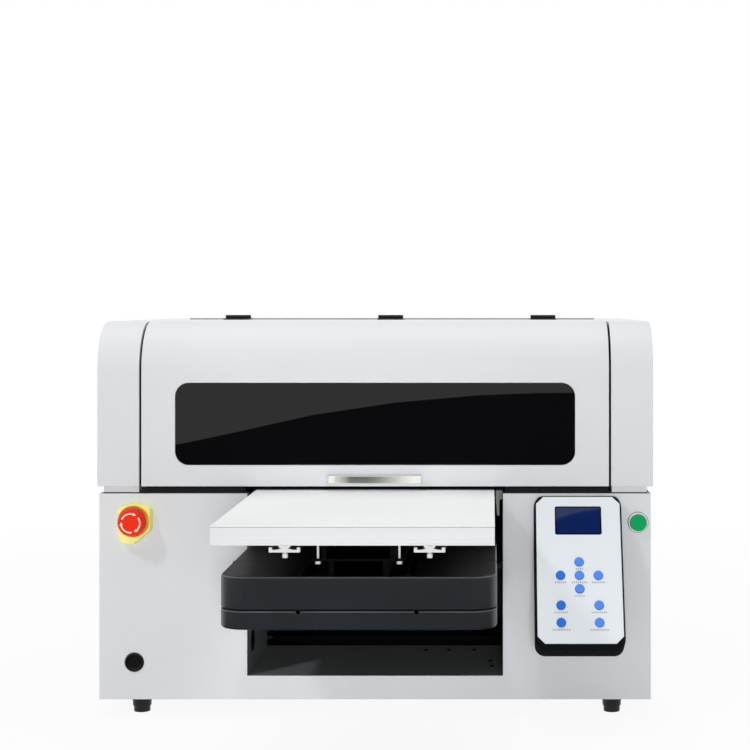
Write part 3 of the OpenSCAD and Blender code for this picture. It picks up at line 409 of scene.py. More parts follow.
def folded_strip(name, outline, depths, material, node):
    """A strip of sheet whose front view is an outline of X and Z, and which runs back over a range of Y."""
    work = bmesh.new()
    front, rear = ([work.verts.new((x, y, z)) for x, z in outline] for y in depths)
    work.faces.new(front)
    work.faces.new(rear[::-1])
    for i in range(len(outline)):
        work.faces.new((front[i - 1], rear[i - 1], rear[i], front[i]))
    bmesh.ops.recalc_face_normals(work, faces=work.faces)
    bmesh.ops.bevel(work, geom=work.edges[:], offset=0.0003, segments=1, affect="EDGES")
    return mesh_piece(name, settled(work, name), material, node)


def flat_strip(name, across, heights, depths, material, node):
    """A straight strip of sheet over a range of X, of Z and of Y."""
    left, right = across
    low, high = heights
    outline = [(left, low), (right, low), (right, high), (left, high)]
    return folded_strip(name, outline, depths, material, node)


filter_foam = moulded("vent_filter_foam", rgb(13, 13, 14), 0.95, 0.0014, 0.0003, gloss=0.0)
vent_x = wrap_low.x + 0.126
vent_half = 0.052
vent_heights = (0.080, 0.184)
filter_depths = (wrap_high.y - 0.008, wrap_high.y - 0.0021)
flat_strip("vent_filter", (vent_x - vent_half, vent_x + vent_half), vent_heights, filter_depths, filter_foam,
           "cabinet_wrap")


# Bay liner
# A folded tray behind the opening, coated grey and deep in the table's shade: a floor and two side walls,
# with a cable hole in the left wall, closed by a rubber grommet whose black disc is also painted shade for
# the dark hole, and a few cap screws in the floor. A bent guide plate lines the right wall, and a dark strip
# on it is painted shade.

bay_coat = powder_coat("bay_powder_coat", rgb(134, 138, 140), 0.6, 0.0009, 0.00002, gloss=0.25)
softened("bay_liner", bay_coat, radius=0.0007)
bay_low, bay_high = corners("bay_liner")
bay_floor = bay_low.z + 0.002
black_screw = bare_metal("black_oxide_screw", rgb(52, 53, 56), 0.42)
bay_screw_places = ((0.0646, 0.175), (0.0991, 0.175), (0.1367, 0.175), (0.1608, 0.096), (0.1637, 0.061))
grown("bay_floor_screws", screw_heads, [(x, bay_low.y + depth, bay_floor) for x, depth in bay_screw_places],
      black_screw, "bay_liner", head_radius=0.003, head_height=0.002, socket_radius=0.0014, facing=FACING_UP)

guide_grey = powder_coat("grey_guide_coat", rgb(178, 184, 177), 0.5)
guide_left = 0.1712
guide_right = 0.1744
guide_lip = 0.002
guide_wall = bay_high.x - 0.002
guide_bottom = bay_high.z - 0.036
flange_z = bay_high.z - 0.012
guide_depths = (bay_low.y + 0.058, bay_low.y + 0.118)
folded_strip("bay_guide_plate",
             [(guide_left, guide_bottom), (guide_right, guide_bottom), (guide_right, flange_z - guide_lip),
              (guide_wall, flange_z), (guide_wall, bay_high.z), (guide_left - guide_lip, bay_high.z),
              (guide_left - guide_lip, flange_z)],
             guide_depths, guide_grey, "bay_liner")
# A dark strip on the right wall: painted shade for the shade that falls there.
bay_shade_black = moulded("bay_wall_shade", rgb(15, 15, 16), 0.95, 0.0005, 0.00008, gloss=0.0)
wall_shade_x = bay_high.x - 0.0033
wall_shade_t = 0.0012
wall_shade_heights = (bay_floor + 0.002, bay_high.z - 0.016)
wall_shade_depths = (bay_low.y + 0.006, bay_high.y - 0.004)
flat_strip("bay_wall_shade", (wall_shade_x, wall_shade_x + wall_shade_t), wall_shade_heights, wall_shade_depths, bay_shade_black, "bay_liner")


def ring_tree():
    """Geometry Nodes: a flat ring on every vertex, all facing one way."""
    given = growth("flat_rings", ("Ring radius", "Ring width", "Ring depth"))
    radius = given["Ring radius"]
    circle = radius.shape("CurvePrimitiveCircle", Resolution=48, Radius=radius)
    profile = radius.shape("CurvePrimitiveQuadrilateral", Width=given["Ring width"],
                           Height=given["Ring depth"])
    ring = radius.shape("CurveToMesh", Curve=circle, Profile_Curve=profile)
    return grown_up(given, ring)


flat_rings = ring_tree()
gasket_black = moulded("gasket_rubber", rgb(16, 18, 17), 0.7, gloss=0.1)
# The grommet's black disc fills the hole: a rubber part, and painted shade for the dark inside the hole.
grommet_and_shade_place = (bay_low.x + 0.0021, bay_low.y + 0.053, bay_floor + 0.04)
grown("cable_grommet", flat_rings, [grommet_and_shade_place], gasket_black, "bay_liner", ring_radius=0.0084,
      ring_width=0.0167, ring_depth=0.0008, facing=FACING_RIGHT)


# Deck and sill
# The black plate on top of the lower cabinet carries the gantry, the ink and the capping station. Its front
# edge is folded up into a sill behind the lid, fixed with small dark screws.

thin_edge = 0.0006
softened("deck_frame", black_coat, thin_edge)
deck_low, deck_high = corners("deck_frame")
sill_screw_z = deck_high.z - 0.0032
sill_screw_xs = (-0.228, -0.186, 0.187, 0.230)
grown("sill_screws", screw_heads, [(x, deck_low.y, sill_screw_z) for x in sill_screw_xs], black_screw,
      "deck_frame", head_radius=0.0022, head_height=0.0014, socket_radius=0.001, facing=FACING_FRONT)


# Lift
# Four ground steel rods guide an aluminium plate under the beam. Two lead screws of two starts, joined by a
# toothed belt at their feet and driven by a stepper motor on the deck, raise and lower it.

milled_edge = 0.0008
rod_steel = bare_metal("ground_rod_steel", rgb(190, 191, 193), 0.24, (1.0, 1.0, 0.05))
plate_alu = bare_metal("milled_aluminium", rgb(205, 206, 207), 0.4, (0.05, 1.0, 1.0))
motor_black = moulded("motor_lacquer", rgb(30, 30, 32), 0.35, grain_size=0.003, depth=0.00001)
belt_rubber = moulded("belt_rubber", rgb(24, 24, 24), 0.7)
wear("guide_rods", rod_steel)
lift_steel, lift_shader, lift_place = new_finish("lift_screw_steel_and_painted_shade")
# The screws' lower ends are painted near black: painted shade low in the cabinet, below the bay.
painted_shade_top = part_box("lift_belt")[1][2] + 0.018
lower_painted_shade = lift_place.part("Z") < painted_shade_top
lift_streak = lift_place.noise(0.0006, 3.0, (1.0, 1.0, 0.05))
turned_steel = lift_streak.blend(rgb(168, 169, 171), rgb(196, 197, 199))
dress(lift_shader, lower_painted_shade.blend(turned_steel, rgb(26, 26, 28)), lift_streak * 0.2 + 0.22)
(1 - lower_painted_shade).feed(lift_shader, "Metallic")


def threaded(node, material, along, radius, cut, lead, starts):
    """Stands for a CAD screw: its rod turned down by the depth of cut, with the ridges of a thread round it.

    along is 1 for a screw along Y and 2 for one along Z. The ridges end at the ends of the rod."""
    first, second = (along + 1) % 3, (along + 2) % 3
    middle = [(low + high) / 2 for low, high in zip(*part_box(node))]
    work = merged(node)
    near = 2e-5
    rod = [vert for vert in work.verts if near > abs(
        math.hypot(vert.co[first] - middle[first], vert.co[second] - middle[second]) - radius)]
    ends = [vert.co[along] for vert in rod]
    for vert in rod:
        for axis in (first, second):
            vert.co[axis] = middle[axis] + (vert.co[axis] - middle[axis]) * (radius - cut) / radius
    crest = lead / starts * 0.36
    root = lead / starts * 0.58
    base_r = radius - cut - 0.0001
    profile = ((base_r, -root / 2), (radius, -crest / 2), (radius, crest / 2), (base_r, root / 2))
    turn_steps = 32
    steps = int((max(ends) - min(ends) - root) / lead * turn_steps)
    for begin in range(starts):
        rings = []
        for step in range(steps + 1):
            turn = math.tau * (step / turn_steps + begin / starts)
            rings.append([])
            for reach, rise in profile:
                corner = Vector()
                corner[first] = middle[first] + reach * math.cos(turn)
                corner[second] = middle[second] + reach * math.sin(turn)
                corner[along] = min(ends) + root / 2 + lead * step / turn_steps + rise
                rings[-1].append(work.verts.new(corner))
        for before, after in zip(rings, rings[1:]):
            for side in range(4):
                work.faces.new((before[side - 1], before[side], after[side], after[side - 1]))
        work.faces.new(rings[0][::-1])
        work.faces.new(rings[-1])
    bmesh.ops.recalc_face_normals(work, faces=work.faces)
    name = node + "_threaded"
    return mesh_piece(name, settled(work, name), material, node, replaces=True)


for node in ("lift_screw_left", "lift_screw_right"):
    threaded(node, lift_steel, along=2, radius=0.007, cut=0.0009, lead=0.010, starts=2)
softened("lift_plate", plate_alu, milled_edge)
softened("lift_motor", motor_black, milled_edge)
wear("lift_belt", belt_rubber)


# Lift beam
# The beam that carries the table is two black mouldings, a shallow tray and a deep cover with round front
# corners, closed along a groove. A trough for the table's rails runs along the cover. The deck and the groove
# are painted darker as painted shade, and light bands along the rims are painted highlights.

beam_low, beam_high = corners("beam_cover")
tray_low = Vector(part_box("beam_tray")[0])
beam_wall = 0.003
seam_h = 0.0022
highlight_band_h = 0.0013
rim_z = beam_high.z - 0.0004
lip_z = beam_low.z + 0.0001
beam_black, beam_shader, beam_place = new_finish("beam_moulding", gloss=0.35)
beam_z = beam_place.part("Z")
beam_grain = beam_place.noise(0.0009)
beam_cloud = beam_place.noise(0.05)
beam_face = (beam_cloud * 0.7 + beam_grain * 0.3).blend(rgb(33, 36, 40), rgb(39, 42, 46))
# Painted shade on the deck and in the groove, and painted highlights in thin bands along the two rims.
deck_shade_mask = beam_z > rim_z
seam_shade_mask = (beam_z > lip_z) * (beam_z < beam_low.z + seam_h)
rim_highlight_band = (beam_z > rim_z - highlight_band_h) * (beam_z < rim_z)
lip_highlight_band = (beam_z > beam_low.z - highlight_band_h) * (beam_z < lip_z)
painted_highlight = (rim_highlight_band + lip_highlight_band) * (beam_cloud * 0.8 + 0.4)
face_with_painted_shade = (deck_shade_mask + seam_shade_mask).blend(beam_face, rgb(7, 7, 8))
dress(beam_shader, painted_highlight.blend(face_with_painted_shade, rgb(96, 100, 106)),
      deck_shade_mask * 0.14 + seam_shade_mask * 0.5 + beam_grain * 0.1 + 0.26, beam_grain.relief(0.000003))


def on_beam_edge(place):
    """True on the outer edge round the beam's top or underside."""
    outer = beam_high.x - abs(place.x) < beam_wall or place.y - beam_low.y < beam_high.x / 5
    inner = abs(place.x) < beam_high.x / 2 and place.y - beam_low.y > beam_wall
    return outer and not inner and (beam_high.z - place.z < 0.0005 or place.z - tray_low.z < 0.0005)


for node in ("beam_tray", "beam_cover"):
    softened(node, beam_black, milled_edge, segments=3, broad=(0.003, on_beam_edge))


# Table drive
# Two profiled steel rails and a ball screw of four starts lie in the trough. Plastic caps close the rails'
# bolt holes. Four slide blocks run on the rails, and a stepper motor at the rear end turns the screw.

rail_steel = bare_metal("rail_steel", rgb(168, 169, 171), 0.3, (1.0, 0.04, 1.0))
wear("y_rails", rail_steel)
rail_low = Vector(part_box("y_rails")[0])
rail_x = 0.040
rail_top = rail_low.z + 0.010
cap_pitch = 0.06
rail_cap = {"ring_radius": 0.0018, "ring_width": 0.0034, "ring_depth": 0.0003}
y_caps = [(x, rail_low.y + (step + 0.5) * cap_pitch, rail_top)
          for x in (-rail_x, rail_x) for step in range(13)]
grown("y_rail_caps", flat_rings, y_caps, gasket_black, "y_rails", facing=FACING_UP, **rail_cap)
ball_steel = bare_metal("ball_screw_steel", rgb(176, 177, 180), 0.24, (1.0, 0.05, 1.0))
threaded("y_screw", ball_steel, along=1, radius=0.006, cut=0.0011, lead=0.020, starts=4)
softened("y_motor", motor_black, milled_edge)
softened("slide_blocks", rail_steel, milled_edge)


# Table and its supports
# The table is a white lacquered aluminium slab with a white plastic sheet bonded on top. Two extruded
# profiles, black anodised and bright where they are sawn, stiffen it from below, and a black folded saddle
# with levelling screws stands on the slide blocks.

profile_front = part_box("table_profiles")[0][1]
profile_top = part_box("table_profiles")[1][2]
sawn_end = 0.004
foot_drop = 0.018
level_reach = 0.062
profile_alu, profile_shader, profile_place = new_finish("anodised_profile")
draw_line = profile_place.noise(0.0006, 3.0, (1.0, 0.03, 1.0))
level_screw = abs(profile_place.part("X")) < level_reach
below_foot = profile_place.part("Z") < profile_top - foot_drop
bright_metal = (profile_place.part("Y") < profile_front + sawn_end) + level_screw + below_foot
dress(profile_shader, bright_metal.blend(rgb(40, 41, 43), rgb(226, 227, 227)), draw_line * 0.2 + 0.36,
      draw_line.relief(0.000004))
saddle_coat = powder_coat("saddle_powder_coat", rgb(9, 9, 10), 0.6, gloss=0.1)
softened("table_saddle", saddle_coat, thin_edge)
sawn_edge = 0.0003
softened("table_profiles", profile_alu, sawn_edge)
slab_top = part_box("table_slab")[1][2]
bond_t = 0.0006
table_white, slab_shader, slab_place = new_finish("table_lacquer")
mill_mark = slab_place.noise(0.0011, 2.0, (0.004, 0.004, 1.0))
bond = slab_place.part("Z") > slab_top - bond_t
slab_colour = mill_mark.blend(rgb(210, 212, 213), rgb(230, 231, 232))
dress(slab_shader, bond.blend(slab_colour, rgb(96, 98, 104)), mill_mark * 0.2 + 0.38,
      mill_mark.relief(0.00003))
sheet_white = powder_coat("table_sheet", rgb(250, 251, 251), 0.4, peel=0.003, depth=0.000004)
softened("table_slab", table_white, sawn_edge)
softened("table_sheet", sheet_white, sawn_edge)


# Gantry
# An aluminium box beam on two legs carries the linear rail, the toothed belt with its two pulleys and the
# motor that moves the carriage across.

softened("gantry_beam", plate_alu, milled_edge)
wear("x_rail", rail_steel)
x_rail_low, x_rail_high = corners("x_rail")
x_cap_z = (x_rail_low.z + x_rail_high.z) / 2
x_caps = [(x_rail_low.x + (step + 0.5) * cap_pitch, x_rail_low.y, x_cap_z) for step in range(10)]
grown("x_rail_caps", flat_rings, x_caps, gasket_black, "x_rail", facing=FACING_FRONT, **rail_cap)
softened("x_motor", motor_black, milled_edge)
wear("x_belt", belt_rubber)
for node in ("x_drive_pulley", "x_idler_pulley"):
    wear(node, plate_alu)


# Print carriage
# A black moulded box on the rail holds two print heads with steel nozzle plates, and a finned lamp beside it
# cures the ink. The capping station below seals the parked heads.

carriage_black = moulded("carriage_moulding", rgb(42, 43, 46), 0.5)
softened("carriage_frame", carriage_black, radius=0.001)
softened("print_heads", plate_alu, thin_edge)
softened("uv_lamp", black_coat, thin_edge)
softened("capping_station", carriage_black, thin_edge)


# Ink and electronics
# Six translucent tanks stand in a row on the left of the deck, filled to one level and capped in the colours
# of their inks, and the boards sit in an open aluminium tray at the lower left. The mains inlet is in the
# rear wall.

tank_low, tank_high = corners("ink_tanks")
tank_pitch = 0.043
tank_wall = 0.002
tank_top = tank_high.z - 0.0099
ink_level = tank_low.z + 0.066
ink_colours = (rgb(16, 16, 18), rgb(0, 112, 180), rgb(196, 20, 104), rgb(236, 196, 10),
               rgb(238, 238, 236), rgb(206, 204, 190))
tank_plastic, tank_shader, tank_place = new_finish("tank_plastic_and_ink")
tank_y = tank_place.part("Y")
tank_z = tank_place.part("Z")
tank_cloud = tank_place.noise(0.02)
ink = ink_colours[0]
for tank in range(1, 6):
    ink = (tank_y > tank_low.y + tank * tank_pitch - tank_wall).blend(ink, ink_colours[tank])
filled = (tank_z < ink_level) * (tank_cloud * 0.2 + 0.62) + (tank_z > tank_top)
clear_wall = tank_cloud.blend(rgb(214, 212, 200), rgb(232, 230, 220))
dress(tank_shader, filled.blend(clear_wall, ink), tank_cloud * 0.1 + 0.28,
      tank_place.noise(0.0008).relief(0.00002))
inlet_black = moulded("inlet_moulding", rgb(28, 28, 30), 0.4)
softened("ink_tanks", tank_plastic, radius=0.002, segments=3)
wear("electronics_box", plate_alu)
softened("mains_inlet", inlet_black, radius=0.0005)


# Hood
# The two fixed cheeks are moulded caps on recessed neck strips, with a folded cover between them at the rear.
# All are sprayed like the cabinet. Foam seals the necks, and a grey rail behind the lid carries its hinges,
# its darker grey painted shade along the hinge line.

softened("hood_cheeks", cabinet_coat, moulded_edge)
softened("rear_hood", cabinet_coat, fold_edge)
cheek_low, cheek_high = corners("hood_cheeks")
rear_low, rear_high = corners("rear_hood")
seal_foam = moulded("seal_foam", rgb(12, 12, 13), 0.9, gloss=0.05)
neck_inset = 0.008
neck_gap = 0.001
neck_seal_heights = (wrap_high.z, wrap_high.z + 0.0014)
neck_seal_depths = (cheek_low.y + 0.0054, cheek_low.y + 0.007)
for side, across in (("left", (cheek_low.x + neck_inset, rear_low.x - neck_gap)),
                     ("right", (rear_high.x + neck_gap, cheek_high.x - neck_inset))):
    flat_strip("neck_seal_" + side, across, neck_seal_heights, neck_seal_depths, seal_foam, "hood_cheeks")
# The rail's darker grey is painted shade along the hinge line behind the lid.
hinge_line_shade_grey = powder_coat("hinge_rail_painted_shade", rgb(150, 158, 164), 0.5)
hinge_rail_heights = (rear_high.z, rear_high.z + 0.002)
hinge_rail_depths = (rear_low.y + 0.028, rear_low.y + 0.040)
flat_strip("hinge_rail", (rear_low.x, rear_high.x), hinge_rail_heights, hinge_rail_depths, hinge_line_shade_grey,
           "rear_hood")


# Lid
# The lid is a folded shell with a rounded front that turns on three steel hinges. A tinted acrylic window
# fills its front, and a handle of polished nickel-plated strap, bent back at both ends, is bolted on below
# it. Foam seals its sides, and a black strip below its front edge is painted shade under the lid.

softened("lid_shell", cabinet_coat, fold_edge)
tint, tint_shader, tint_place = new_finish("tinted_acrylic", gloss=0.33)
dress(tint_shader, tint_place.noise(0.4, 1.0).blend(rgb(10, 10, 12), rgb(13, 13, 15)),
      tint_place.noise(0.002) * 0.008 + 0.004, tint_place.noise(0.25, 0.0).relief(0.00002))
wear("lid_window", tint)
nickel, nickel_shader, nickel_place = new_finish("polished_nickel", metallic=1.0)
polish = nickel_place.noise(0.0007, 2.0, (0.02, 1.0, 1.0))
dress(nickel_shader, polish.blend(rgb(238, 237, 232), rgb(246, 245, 241)), polish * 0.06 + 0.05)


def strip_tree():
    """Geometry Nodes: a square strip swept along the line that it is given."""
    given = growth("swept_strip", ("Width", "Thickness"), turned=False)
    line = given["Geometry"]
    path = line.shape("MeshToCurve", Mesh=line)
    profile = line.shape("CurvePrimitiveQuadrilateral", Width=given["Width"], Height=given["Thickness"])
    strip = line.shape("CurveToMesh", Fill_Caps=True, Curve=path, Profile_Curve=profile)
    return grown_up(given, strip)


swept_strip = strip_tree()
handle_low, handle_high = corners("lid_handle")
strap_t = 0.004
strap_h = 0.0112
strap_bend = 0.011
strap_turn = math.radians(9)
strap_lean = math.tan(math.radians(6))
strap_z = (handle_low.z + handle_high.z) / 2 - 0.0003
strap_half = (handle_high.x - handle_low.x) / 2 - strap_t / 2 - strap_bend * (1 - math.sin(strap_turn))
strap_bow = strap_half * math.tan(strap_turn) / 2
strap_front = handle_low.y + strap_t / 2
bow_steps = 20
bend_steps = 10
right_half = [(strap_half * step / bow_steps, strap_front + strap_bow * (step / bow_steps) ** 2)
              for step in range(bow_steps + 1)]
bend_x = strap_half - strap_bend * math.sin(strap_turn)
bend_y = strap_front + strap_bow + strap_bend * math.cos(strap_turn)
for step in range(1, bend_steps + 1):
    turn = strap_turn + (math.pi / 2 - strap_turn) * step / bend_steps
    right_half.append((bend_x + strap_bend * math.sin(turn), bend_y - strap_bend * math.cos(turn)))
right_half.append((right_half[-1][0], handle_high.y))
strap_path = [(-x, y, strap_z) for x, y in reversed(right_half[1:])]
strap_path += [(x, y, strap_z) for x, y in right_half]
strap_mesh = grown_mesh("handle_strap", swept_strip, strap_path, nickel, edges=True, width=strap_t,
                        thickness=strap_h)
for vertex in strap_mesh.vertices:
    vertex.co.y += (vertex.co.z - strap_z + strap_h / 2) * strap_lean
softened("lid_handle", nickel, fold_edge, segments=3, shape=strap_mesh)
for node in ("hinge_fixed_leaves", "hinge_moving_leaves"):
    softened(node, black_coat, radius=0.0004)

lid_low, lid_high = corners("lid_shell")
lid_gap = 0.003
seal_in = 0.0085
hood_round = 0.068
seal_round = hood_round - seal_in
seal_path = [(lid_low.y + seal_in, lid_low.z + 0.002)]
for step in range(13):
    turn = step * math.pi / 24
    seal_path.append((lid_low.y + hood_round - seal_round * math.cos(turn),
                      cheek_high.z - hood_round + seal_round * math.sin(turn)))
seal_path.append((lid_high.y - 0.002, cheek_high.z - seal_in))
for side, x in (("left", lid_low.x - lid_gap / 2), ("right", lid_high.x + lid_gap / 2)):
    grown("lid_seal_" + side, swept_strip, [(x, y, z) for y, z in seal_path], seal_foam, "hood_cheeks",
          edges=True, width=lid_gap - 0.0006, thickness=0.006)
# A black strip below the lid's front edge: painted shade where the lid shades the table.
lid_shade_half = bay_high.x - 0.0025
lid_shade_heights = (lid_low.z - 0.0038, lid_low.z + 0.0004)
lid_shade_depths = (lid_low.y + 0.0022, lid_low.y + 0.0045)
flat_strip("lid_edge_shade_strip", (-lid_shade_half, lid_shade_half), lid_shade_heights, lid_shade_depths, seal_foam, "lid_shell")


# Console
# A tilted housing with soft corners sits over the front edge. Its face is a white plate with a display window
# in a rubber frame and nine blue rubber keys, each with a printed caption below it and a thin dark ring round
# it, painted shade where the raised key shades the plate.

console_black = moulded("console_moulding", rgb(24, 25, 27), 0.6, gloss=0.01)
console_face = powder_coat("console_faceplate", rgb(230, 235, 239), 0.36)
softened("console_housing", console_black, radius=0.0015, segments=3)
softened("console_faceplate", console_face, thin_edge)
face_tilt = math.radians(26.5)
face_up = Vector((0.0, math.sin(face_tilt), math.cos(face_tilt)))
face_out = Vector((0.0, -math.cos(face_tilt), math.sin(face_tilt)))
FACING_CONSOLE = (math.pi / 2 - face_tilt, 0.0, 0.0)


def box_middle(node):
    """The middle of a CAD piece's box."""
    low, high = corners(node)
    return (low + high) / 2


glass_middle = box_middle("lcd_window")
glass_border = 0.0014
glass_half_w = 0.0315 - glass_border
glass_half_h = 0.0198 - glass_border
display, display_shader, display_place = new_finish("display_glass", gloss=0.36)
offset = display_place.vector("SUBTRACT", tuple(glass_middle))
across = offset.vector("DOT_PRODUCT", (1.0, 0.0, 0.0), "Value")
upward = offset.vector("DOT_PRODUCT", tuple(face_up), "Value")
border = (abs(across) > glass_half_w).maths("MAXIMUM", abs(upward) > glass_half_h)
screen = display_place.noise(0.03, 1.0).blend(rgb(14, 33, 86), rgb(18, 38, 92))
dress(display_shader, border.blend(screen, rgb(9, 14, 30)), display_place.noise(0.002, 1.0) * 0.02 + 0.02)
wear("lcd_window", display)

frame_r = 0.0022
frame_x = 0.0317 - frame_r
frame_y = 0.0200 - frame_r
frame_path = []
for quarter, (side_x, side_y) in enumerate(((1, 1), (-1, 1), (-1, -1), (1, -1))):
    for step in range(5):
        turn = (quarter + step / 4) * math.pi / 2
        frame_path.append((side_x * frame_x + frame_r * math.cos(turn),
                           side_y * frame_y + frame_r * math.sin(turn), 0.0))
frame_path.append(frame_path[0])
frame_piece = grown("display_frame", swept_strip, frame_path, gasket_black, "lcd_window", edges=True,
                    width=0.0012, thickness=0.0009)
frame_piece.data.transform(Matrix.Translation(glass_middle + face_out * 0.0008)
                           @ Matrix.Rotation(math.pi / 2 - face_tilt, 4, "X"))

key_blue = moulded("key_blue", rgb(84, 141, 250), 0.38, gloss=0.3)
key_deep_blue = moulded("key_deep_blue", rgb(38, 116, 220), 0.38, gloss=0.3)
key_nodes = [part["node"] for part in frame["record"]["subparts"] if part["material_slot"] == "key_blue"]
for node in key_nodes:
    softened(node, key_deep_blue if node.endswith("left") else key_blue, radius=0.0008, segments=3)
face_depth = 0.0011
face_middle = box_middle("console_faceplate")


def on_face(node, drop, side=0.0):
    """The place on the faceplate's front that lies below a key's middle, and to the side of it."""
    middle = box_middle(node)
    rise = (middle - face_middle).dot(face_up) - drop
    start = Vector((middle.x + side, face_middle.y, face_middle.z))
    return tuple(start + face_up * rise + face_out * face_depth)


# Thin dark rings round the keys: painted shade where the raised keys shade the faceplate.
key_shade_ring = moulded("key_shade_ring", rgb(62, 78, 120), 0.6)
grown("key_rims", flat_rings, [on_face(node, 0.0) for node in key_nodes], key_shade_ring, "console_faceplate",
      ring_radius=0.00635, ring_width=0.0005, ring_depth=0.0004, facing=FACING_CONSOLE)


def bar_tree():
    """Geometry Nodes: a small flat bar on every vertex, all turned one way."""
    given = growth("printed_bars", ("Bar width", "Bar height", "Bar depth"))
    width = given["Bar width"]
    size = width.add("ShaderNodeCombineXYZ", None, {
        "X": width, "Y": given["Bar height"], "Z": given["Bar depth"]})
    return grown_up(given, width.shape("MeshCube", Size=size))


legend_grey = moulded("legend_grey", rgb(112, 112, 116), 0.5)
legend_drop = 0.0098
bar_pitch = 0.0028
bar_counts = {"key_up": 4, "key_down": 5, "key_left": 6, "key_enter": 8, "key_right": 7, "key_lower_left": 7,
              "key_lower_right": 8, "key_bottom_left": 9, "key_bottom_right": 9}
legend_points = [on_face(node, legend_drop, (bar - (bar_counts[node] - 1) / 2) * bar_pitch)
                 for node in key_nodes for bar in range(bar_counts[node])]
grown("key_legend_bars", bar_tree(), legend_points, legend_grey, "console_faceplate",
      bar_width=0.0010, bar_height=0.0021, bar_depth=0.0003, facing=FACING_CONSOLE)


# Push-buttons
# The emergency stop has a red twist head on a plunger in a yellow guard, whose well is painted orange as
# painted shade with a painted reflection of the red head. The start button has a green lens in a white bezel,
# with two thin dark rings round the bezel and round the lens as painted shade. A black plug closes an unused
# hole.

stop_red = moulded("stop_red", rgb(252, 48, 18), 0.4, gloss=0.15)
start_green = moulded("start_green", rgb(6, 164, 94), 0.3, gloss=0.25)
stop_axis = box_middle("estop_head")
stop_well_r = 0.0218
guard_yellow, guard_shader, guard_place = new_finish("guard_yellow")
from_axis = guard_place.vector("SUBTRACT", tuple(stop_axis)).vector("MULTIPLY", (1.0, 0.0, 1.0))
# The well inside the guard's rim is painted orange: painted shade on its walls and a painted reflection of
# the red head.
well_painted_shade = from_axis.vector("LENGTH", output="Value") < stop_well_r
guard_grain = guard_place.noise(0.0008)
outer_yellow = guard_grain.blend(rgb(255, 252, 128), rgb(255, 254, 172))
dress(guard_shader, well_painted_shade.blend(outer_yellow, rgb(255, 196, 52)), guard_grain * 0.14 + 0.32,
      guard_grain.relief(0.00002))
softened("estop_guard", guard_yellow, moulded_edge, segments=3)
wear("estop_plunger", motor_black)
softened("estop_head", stop_red, radius=0.001, segments=3)
bezel_white = moulded("bezel_white", rgb(248, 249, 250), 0.3)
softened("start_bezel", bezel_white, thin_edge, segments=3)
softened("start_lens", start_green, moulded_edge, segments=4)
plug_black = moulded("plug_moulding", rgb(9, 9, 10), 0.4, gloss=0.4)
softened("hole_plug", plug_black, radius=0.0008, segments=3)


def turning_arrows(count, radius, width, sweep, first, head, depth):
    """Clockwise arc arrows in a ring: outlines in X and Z round the origin, given a small depth in Y."""
    work = bmesh.new()
    steps = 12
    for arrow in range(count):
        begin = first - arrow * math.tau / count
        turns = [begin - sweep * step / steps for step in range(steps + 1)]
        tip = turns[-1] - head / radius
        outline = [(radius + width / 2, turn) for turn in turns]
        outline += [(radius + head / 2, turns[-1]), (radius, tip), (radius - head / 2, turns[-1])]
        outline += [(radius - width / 2, turn) for turn in reversed(turns)]
        ring = [work.verts.new((r * math.cos(turn), 0.0, r * math.sin(turn))) for r, turn in outline]
        sheet = work.faces.new(ring)
        for vert in bmesh.ops.extrude_face_region(work, geom=[sheet])["geom"]:
            if isinstance(vert, bmesh.types.BMVert):
                vert.co.y -= depth
    bmesh.ops.recalc_face_normals(work, faces=work.faces)
    return settled(work, "stop_arrows")


arrow_white = moulded("arrow_white", rgb(250, 240, 226), 0.4, gloss=0.3)
arrow_mesh = turning_arrows(count=3, radius=0.013, width=0.0018, sweep=math.radians(84),
                            first=math.radians(157), head=0.0046, depth=0.0003)
head_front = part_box("estop_head")[0][1]
arrow_mesh.transform(Matrix.Translation((stop_axis.x, head_front + 0.0001, stop_axis.z)))
mesh_piece("stop_arrows", arrow_mesh, arrow_white, "estop_head")

start_axis = box_middle("start_lens")
front_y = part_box("front_panel")[0][1]
# Two thin dark rings, round the bezel and between the lens and the bezel: painted shade where the parts meet.
for name, ring_r, width, rise in (("start_gasket", 0.0143, 0.0004, 0.0004),
                                  ("start_lens_seal", 0.01185, 0.0003, 0.0050)):
    grown(name, flat_rings, [(start_axis.x, front_y - rise, start_axis.z)], gasket_black, "start_bezel",
          ring_radius=ring_r, ring_width=width, ring_depth=0.0008, facing=FACING_FRONT)


# Studio
# A white floor and a white surround, soft boxes overhead, at the left, in front and behind, two snoots for
# the table and the shade below it, and the camera where the photographer stood. Black flags and a graded
# board, seen by gloss alone, give the window, the display and the handle their dark parts.

scene = bpy.context.scene
scene.view_settings.view_transform = "Standard"


def stage_sheet(name, points, material, faces=None, gloss_only=False):
    """A sheet of the studio that isn't part of the machine, in full view or seen by gloss alone."""
    mesh = bpy.data.meshes.new(name)
    mesh.from_pydata(points, [], faces or [tuple(range(len(points)))])
    mesh.materials.append(material)
    sheet = placed(name, mesh)
    for ray in ("camera", "diffuse", "transmission", "shadow") if gloss_only else ():
        setattr(sheet, "visible_" + ray, False)


def level_outline(left, right, near, far, height):
    """The corners of a level sheet."""
    return [(left, near, height), (right, near, height), (right, far, height), (left, far, height)]


def seen_rays(start):
    """One where the camera, gloss or glass looks, and zero for the light that falls on the machine."""
    camera_ray, gloss_ray, glass_ray = (start.add("ShaderNodeLightPath", output=f"Is {ray} Ray")
                                        for ray in ("Camera", "Glossy", "Transmission"))
    return camera_ray + gloss_ray + glass_ray


def mixed(start, share, first, second, end):
    """Ends a tree in a mix of two shaders."""
    mix = start.add("ShaderNodeMixShader", None, {0: share, 1: first, 2: second})
    mix.feed(start.tree.nodes[end], "Surface")


